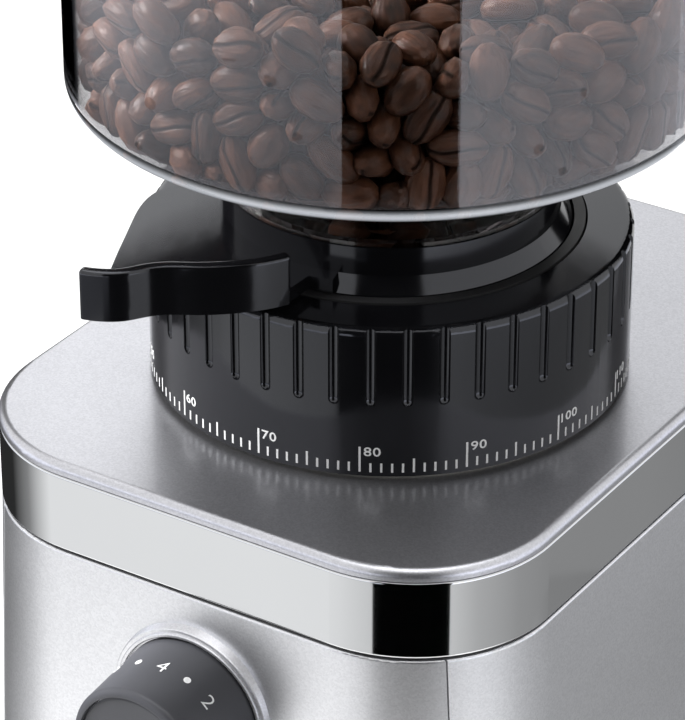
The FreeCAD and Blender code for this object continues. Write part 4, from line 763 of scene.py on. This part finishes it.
# What gloss sees all round, as (degrees from the front towards the right, brightness): sheets on the
# table, a wall behind them, panels level with the band and the ring, walls above and a sheet overhead.
# Black cards stand in the walls where a brightness is 0.
LEFT_SHEET = [(-172, 0.05), (-88, 0.05), (-62, 0.45), (-50, 1.1)]
RIGHT_SHEET = [(58, 1.85), (80, 1.5), (100, 0.45), (140, 0.24), (172, 0.2)]
LOW_WALL = [
    (-172, 0.02), (-80, 0.03), (-61, 0.30), (-49, 0.75), (-42, 1.0), (-22, 1.0), (10, 0.74),
    (10, 0.0), (53, 0.0),
    (53, 0.72), (70, 0.52), (100, 0.37), (140, 0.30), (158, 0.16), (172, 0.06),
]
LEFT_PANEL = [(-172, 0.0), (-100, 0.0), (-92, 0.35), (-60, 1.55), (-40, 1.55), (17.2, 1.3)]
RIGHT_PANEL = [(17.2, 0.0), (52.6, 0.0), (52.6, 2.05), (80, 1.65), (110, 1.25), (165, 1.2)]
TOP_WALLS = [
    [(-180, 0.94), (-166, 0.96), (-125, 1.45), (-118, 1.45), (-118, 0.0), (-92, 0.0)],
    [(10, 0.0), (53, 0.0)],
    [(150, 0.0), (180, 0.0)],
]
OVERHEAD = [(-180, 2.7), (180, 2.7)]
# Their sizes and heights in millimetres; each face of a wall spans up to WALL_TURN degrees.
WALL_RADIUS, SHEET_RADIUS, SHEET_Z = 255.0, 95.0, 1.0
WALL_STEP, WALL_TOP, CARD_TOP = 98.0, 190.0, 420.0
OVERHEAD_RADIUS, OVERHEAD_EYE, OVERHEAD_Z = 320.0, 1.0, 900.0
WALL_TURN = 4
# The left panel fades downwards: heights and shares of its brightness.
PANEL_FADE = [(98.0, 0.22), (114.0, 0.25), (130.0, 0.45), (147.0, 0.85), (165.0, 1.1), (190.0, 1.1)]
PLAIN_WHITE, COOL_WHITE = (0.99, 1.0, 1.01), (0.95, 0.98, 1.08)


def hide_from(made, *rays):
    for ray in rays:
        setattr(made, "visible_" + ray, False)


def not_scattered(tree):
    """1 for what is seen straight, in gloss or through clear plastic, 0 once a matt surface is lit."""
    depth = add(tree, "ShaderNodeLightPath").outputs["Diffuse Depth"]
    return math_node(tree, "LESS_THAN", depth, 0.5)


def glow_material(name):
    """A glow that only gloss shows; looking straight through clear plastic, nothing stands there."""
    made = bpy.data.materials.new(name)
    made.use_nodes = True
    made.cycles.emission_sampling = "NONE"
    tree = made.node_tree
    tree.nodes.clear()
    light = add(tree, "ShaderNodeAttribute", attribute_name="brightness").outputs["Color"]
    glow = add(tree, "ShaderNodeEmission", {"Color": light, "Strength": not_scattered(tree)})
    clear = add(tree, "ShaderNodeBsdfTransparent")
    bounces = add(tree, "ShaderNodeLightPath").outputs["Glossy Depth"]
    shown = math_node(tree, "GREATER_THAN", bounces, 0.5)
    mix = add(tree, "ShaderNodeMixShader", {0: shown, 1: clear.outputs[0], 2: glow.outputs[0]})
    add(tree, "ShaderNodeOutputMaterial", {"Surface": mix.outputs[0]})
    return made


def reflected_wall(name, stops, rows, tint):
    """A wall or sheet round the object that only gloss shows; each row has a radius, a height and
    its share of the brightness."""
    corners, lights, faces = [], [], []
    for (start, first), (end, last) in zip(stops, stops[1:]):
        steps = max(1, math.ceil((end - start) / WALL_TURN))
        for share in np.linspace(0, 1, steps + 1):
            angle = math.radians(start + (end - start) * share)
            for radius, height, part in rows:
                north = AXIS_Y / MM - radius * math.cos(angle)
                corners.append((radius * math.sin(angle), north, height))
                lights.append((*(np.array(tint) * part * (first + (last - first) * share)), 1.0))
            if share > 0:
                for row in range(len(rows) - 1):
                    corner = len(corners) - len(rows) + row
                    faces.append((corner - len(rows), corner, corner + 1, corner - len(rows) + 1))
    mesh = bpy.data.meshes.new(name)
    mesh.from_pydata((np.array(corners) * MM).tolist(), [], faces)
    brightness = mesh.attributes.new("brightness", "FLOAT_COLOR", "POINT")
    brightness.data.foreach_set("color", np.ravel(lights))
    mesh.materials.append(glow_material(name))
    made = scene_object(name, mesh)
    hide_from(made, "camera", "diffuse", "shadow")


def seen_directly(tree):
    """1 for the camera, gloss and clear plastic, 0 for the light that falls on things."""
    path = add(tree, "ShaderNodeLightPath").outputs
    first = math_node(tree, "MAXIMUM", path["Is Camera Ray"], path["Is Glossy Ray"])
    second = math_node(tree, "MAXIMUM", first, path["Is Transmission Ray"])
    return math_node(tree, "MULTIPLY", second, not_scattered(tree))


# The floor's half width, and its glow from near the object to far from it, by distance in metres.
FLOOR_HALF = 3.0
NEAR, FAR, NEAR_GLOW, FAR_GLOW = 0.5, 1.5, 0.55, 1.0
# How bright the world is as light on matt things, and as a background.
WORLD_LIGHT, WORLD_SEEN = 0.20, 1.0


def studio_floor():
    material, tree, shader = new_material("studio_floor")
    set_shader(shader, Base_Color=(0.5, 0.5, 0.5, 1.0), Roughness=0.9)
    set_shader(shader, Specular_IOR_Level=0.0, Emission_Color=(1.0, 1.0, 1.0, 1.0))
    away = add(tree, "ShaderNodeVectorMath", {0: place_of(tree)}, operation="LENGTH").outputs["Value"]
    level = add(tree, "ShaderNodeMapRange", {
        "Value": away, "From Min": NEAR, "From Max": FAR, "To Min": NEAR_GLOW, "To Max": FAR_GLOW,
    }).outputs[0]
    glow = math_node(tree, "MULTIPLY", seen_directly(tree), level)
    tree.links.new(glow, shader.inputs["Emission Strength"])
    signs = ((-1, -1), (1, -1), (1, 1), (-1, 1))
    mesh = bpy.data.meshes.new("studio_floor")
    mesh.from_pydata([(x * FLOOR_HALF, y * FLOOR_HALF, 0.0) for x, y in signs], [], [(0, 1, 2, 3)])
    mesh.materials.append(material)
    made = scene_object("studio_floor", mesh)


def studio_world():
    world = bpy.data.worlds.new("studio_world")
    world.use_nodes = True
    tree = world.node_tree
    sky = tree.nodes["Background"]
    sky.inputs["Color"].default_value = (1.0, 1.0, 1.0, 1.0)
    level = add(tree, "ShaderNodeMapRange", {
        "Value": seen_directly(tree), "To Min": WORLD_LIGHT, "To Max": WORLD_SEEN,
    })
    tree.links.new(level.outputs[0], sky.inputs["Strength"])
    bpy.context.scene.world = world


# In gloss a plain dial stands in, thinner and shorter than the dial by these, in millimetres.
THINNER, SHORTER, DIAL_SIDES = 1.4, 6.5, 64


def dial_in_gloss():
    """The dial as gloss shows it: a little shorter, so that the band shows only a sliver of it."""
    radius = DIAL_R - THINNER * MM
    ends = (dial_low.y + SHORTER * MM, dial_high.y)
    turns = np.linspace(0, 2 * math.pi, DIAL_SIDES, endpoint=False)
    corners = [
        (radius * math.sin(turn), y, DIAL_Z + radius * math.cos(turn)) for y in ends for turn in turns
    ]
    front = tuple(reversed(range(DIAL_SIDES)))
    faces = [front]
    for index in range(DIAL_SIDES):
        after = (index + 1) % DIAL_SIDES
        faces.append((index, after, DIAL_SIDES + after, DIAL_SIDES + index))
    mesh = bpy.data.meshes.new("dial_in_gloss")
    mesh.from_pydata(corners, [], faces)
    mesh.materials.append(FINISH["dial_grey"])
    made = scene_object("dial_in_gloss", mesh)
    hide_from(made, "camera", "diffuse", "shadow", "transmission")
    for name in ("timer_knob", "start_button"):
        hide_from(nodes[name], "glossy")


# Lamps: place, aim and side of the square in metres, and power in watts.
LAMPS = {
    "left_lamp": ((-1.15, -0.45, 0.80), (0.0, 0.0, 0.2), 0.6, 50.0),
    "top_lamp": ((0.1, 0.2, 1.3), (0.0, 0.0, 0.15), 0.9, 3.0),
    "right_lamp": ((0.95, -0.35, 0.75), (0.0, 0.0, 0.15), 0.6, 4.0),
}


def soft_lamp(name, place, aim, side, power):
    lamp = bpy.data.lights.new(name, "AREA")
    lamp.shape = "RECTANGLE"
    lamp.size = side
    lamp.size_y = side
    lamp.energy = power
    made = scene_object(name, lamp)
    made.location = place
    made.rotation_euler = (Vector(aim) - Vector(place)).to_track_quat("-Z", "Y").to_euler()
    hide_from(made, "camera", "glossy")


def studio():
    studio_floor()
    studio_world()
    sheet = [(SHEET_RADIUS, SHEET_Z, 1.0), (WALL_RADIUS, SHEET_Z, 1.0)]
    even = [(WALL_RADIUS, height, 1.0) for height in (SHEET_Z, WALL_STEP, WALL_TOP, CARD_TOP)]
    faded = [(WALL_RADIUS, height, share) for height, share in PANEL_FADE]
    above = [(radius, OVERHEAD_Z, 1.0) for radius in (OVERHEAD_EYE, OVERHEAD_RADIUS)]
    reflected_wall("left_sheet", LEFT_SHEET, sheet, PLAIN_WHITE)
    reflected_wall("right_sheet", RIGHT_SHEET, sheet, PLAIN_WHITE)
    reflected_wall("low_wall", LOW_WALL, even[0:2], PLAIN_WHITE)
    reflected_wall("left_panel", LEFT_PANEL, faded, COOL_WHITE)
    reflected_wall("right_panel", RIGHT_PANEL, even[1:3], COOL_WHITE)
    for index, stops in enumerate(TOP_WALLS):
        reflected_wall("top_wall_%d" % index, stops, even[2:4], PLAIN_WHITE)
    reflected_wall("overhead", OVERHEAD, above, PLAIN_WHITE)
    for name, values in LAMPS.items():
        soft_lamp(name, *values)


# The photo's camera: its place from the burr axis at the cover's top, its line of sight and lens.
CAMERA_PLACE = (0.3652, -0.5822, 0.3881)
CAMERA_SIGHT = (-0.47254, 0.73096, -0.49235)
CAMERA_LENS, CAMERA_SENSOR = 198.37, 36.0


def photo_camera():
    camera = bpy.data.cameras.new("photo_camera")
    camera.sensor_width = CAMERA_SENSOR
    camera.lens = CAMERA_LENS
    camera.clip_start = 0.01
    made = scene_object("photo_camera", camera)
    east, north, up = CAMERA_PLACE
    made.location = (east, AXIS_Y + north, COVER_Z + up)
    made.rotation_euler = Vector(CAMERA_SIGHT).to_track_quat("-Z", "Y").to_euler()
    bpy.context.scene.camera = made


finish_nodes()
ring_scale()
ring_numbers()
dial_marks()
hopper_beans()
studio()
dial_in_gloss()
photo_camera()
bpy.context.scene.view_settings.view_transform = "Standard"
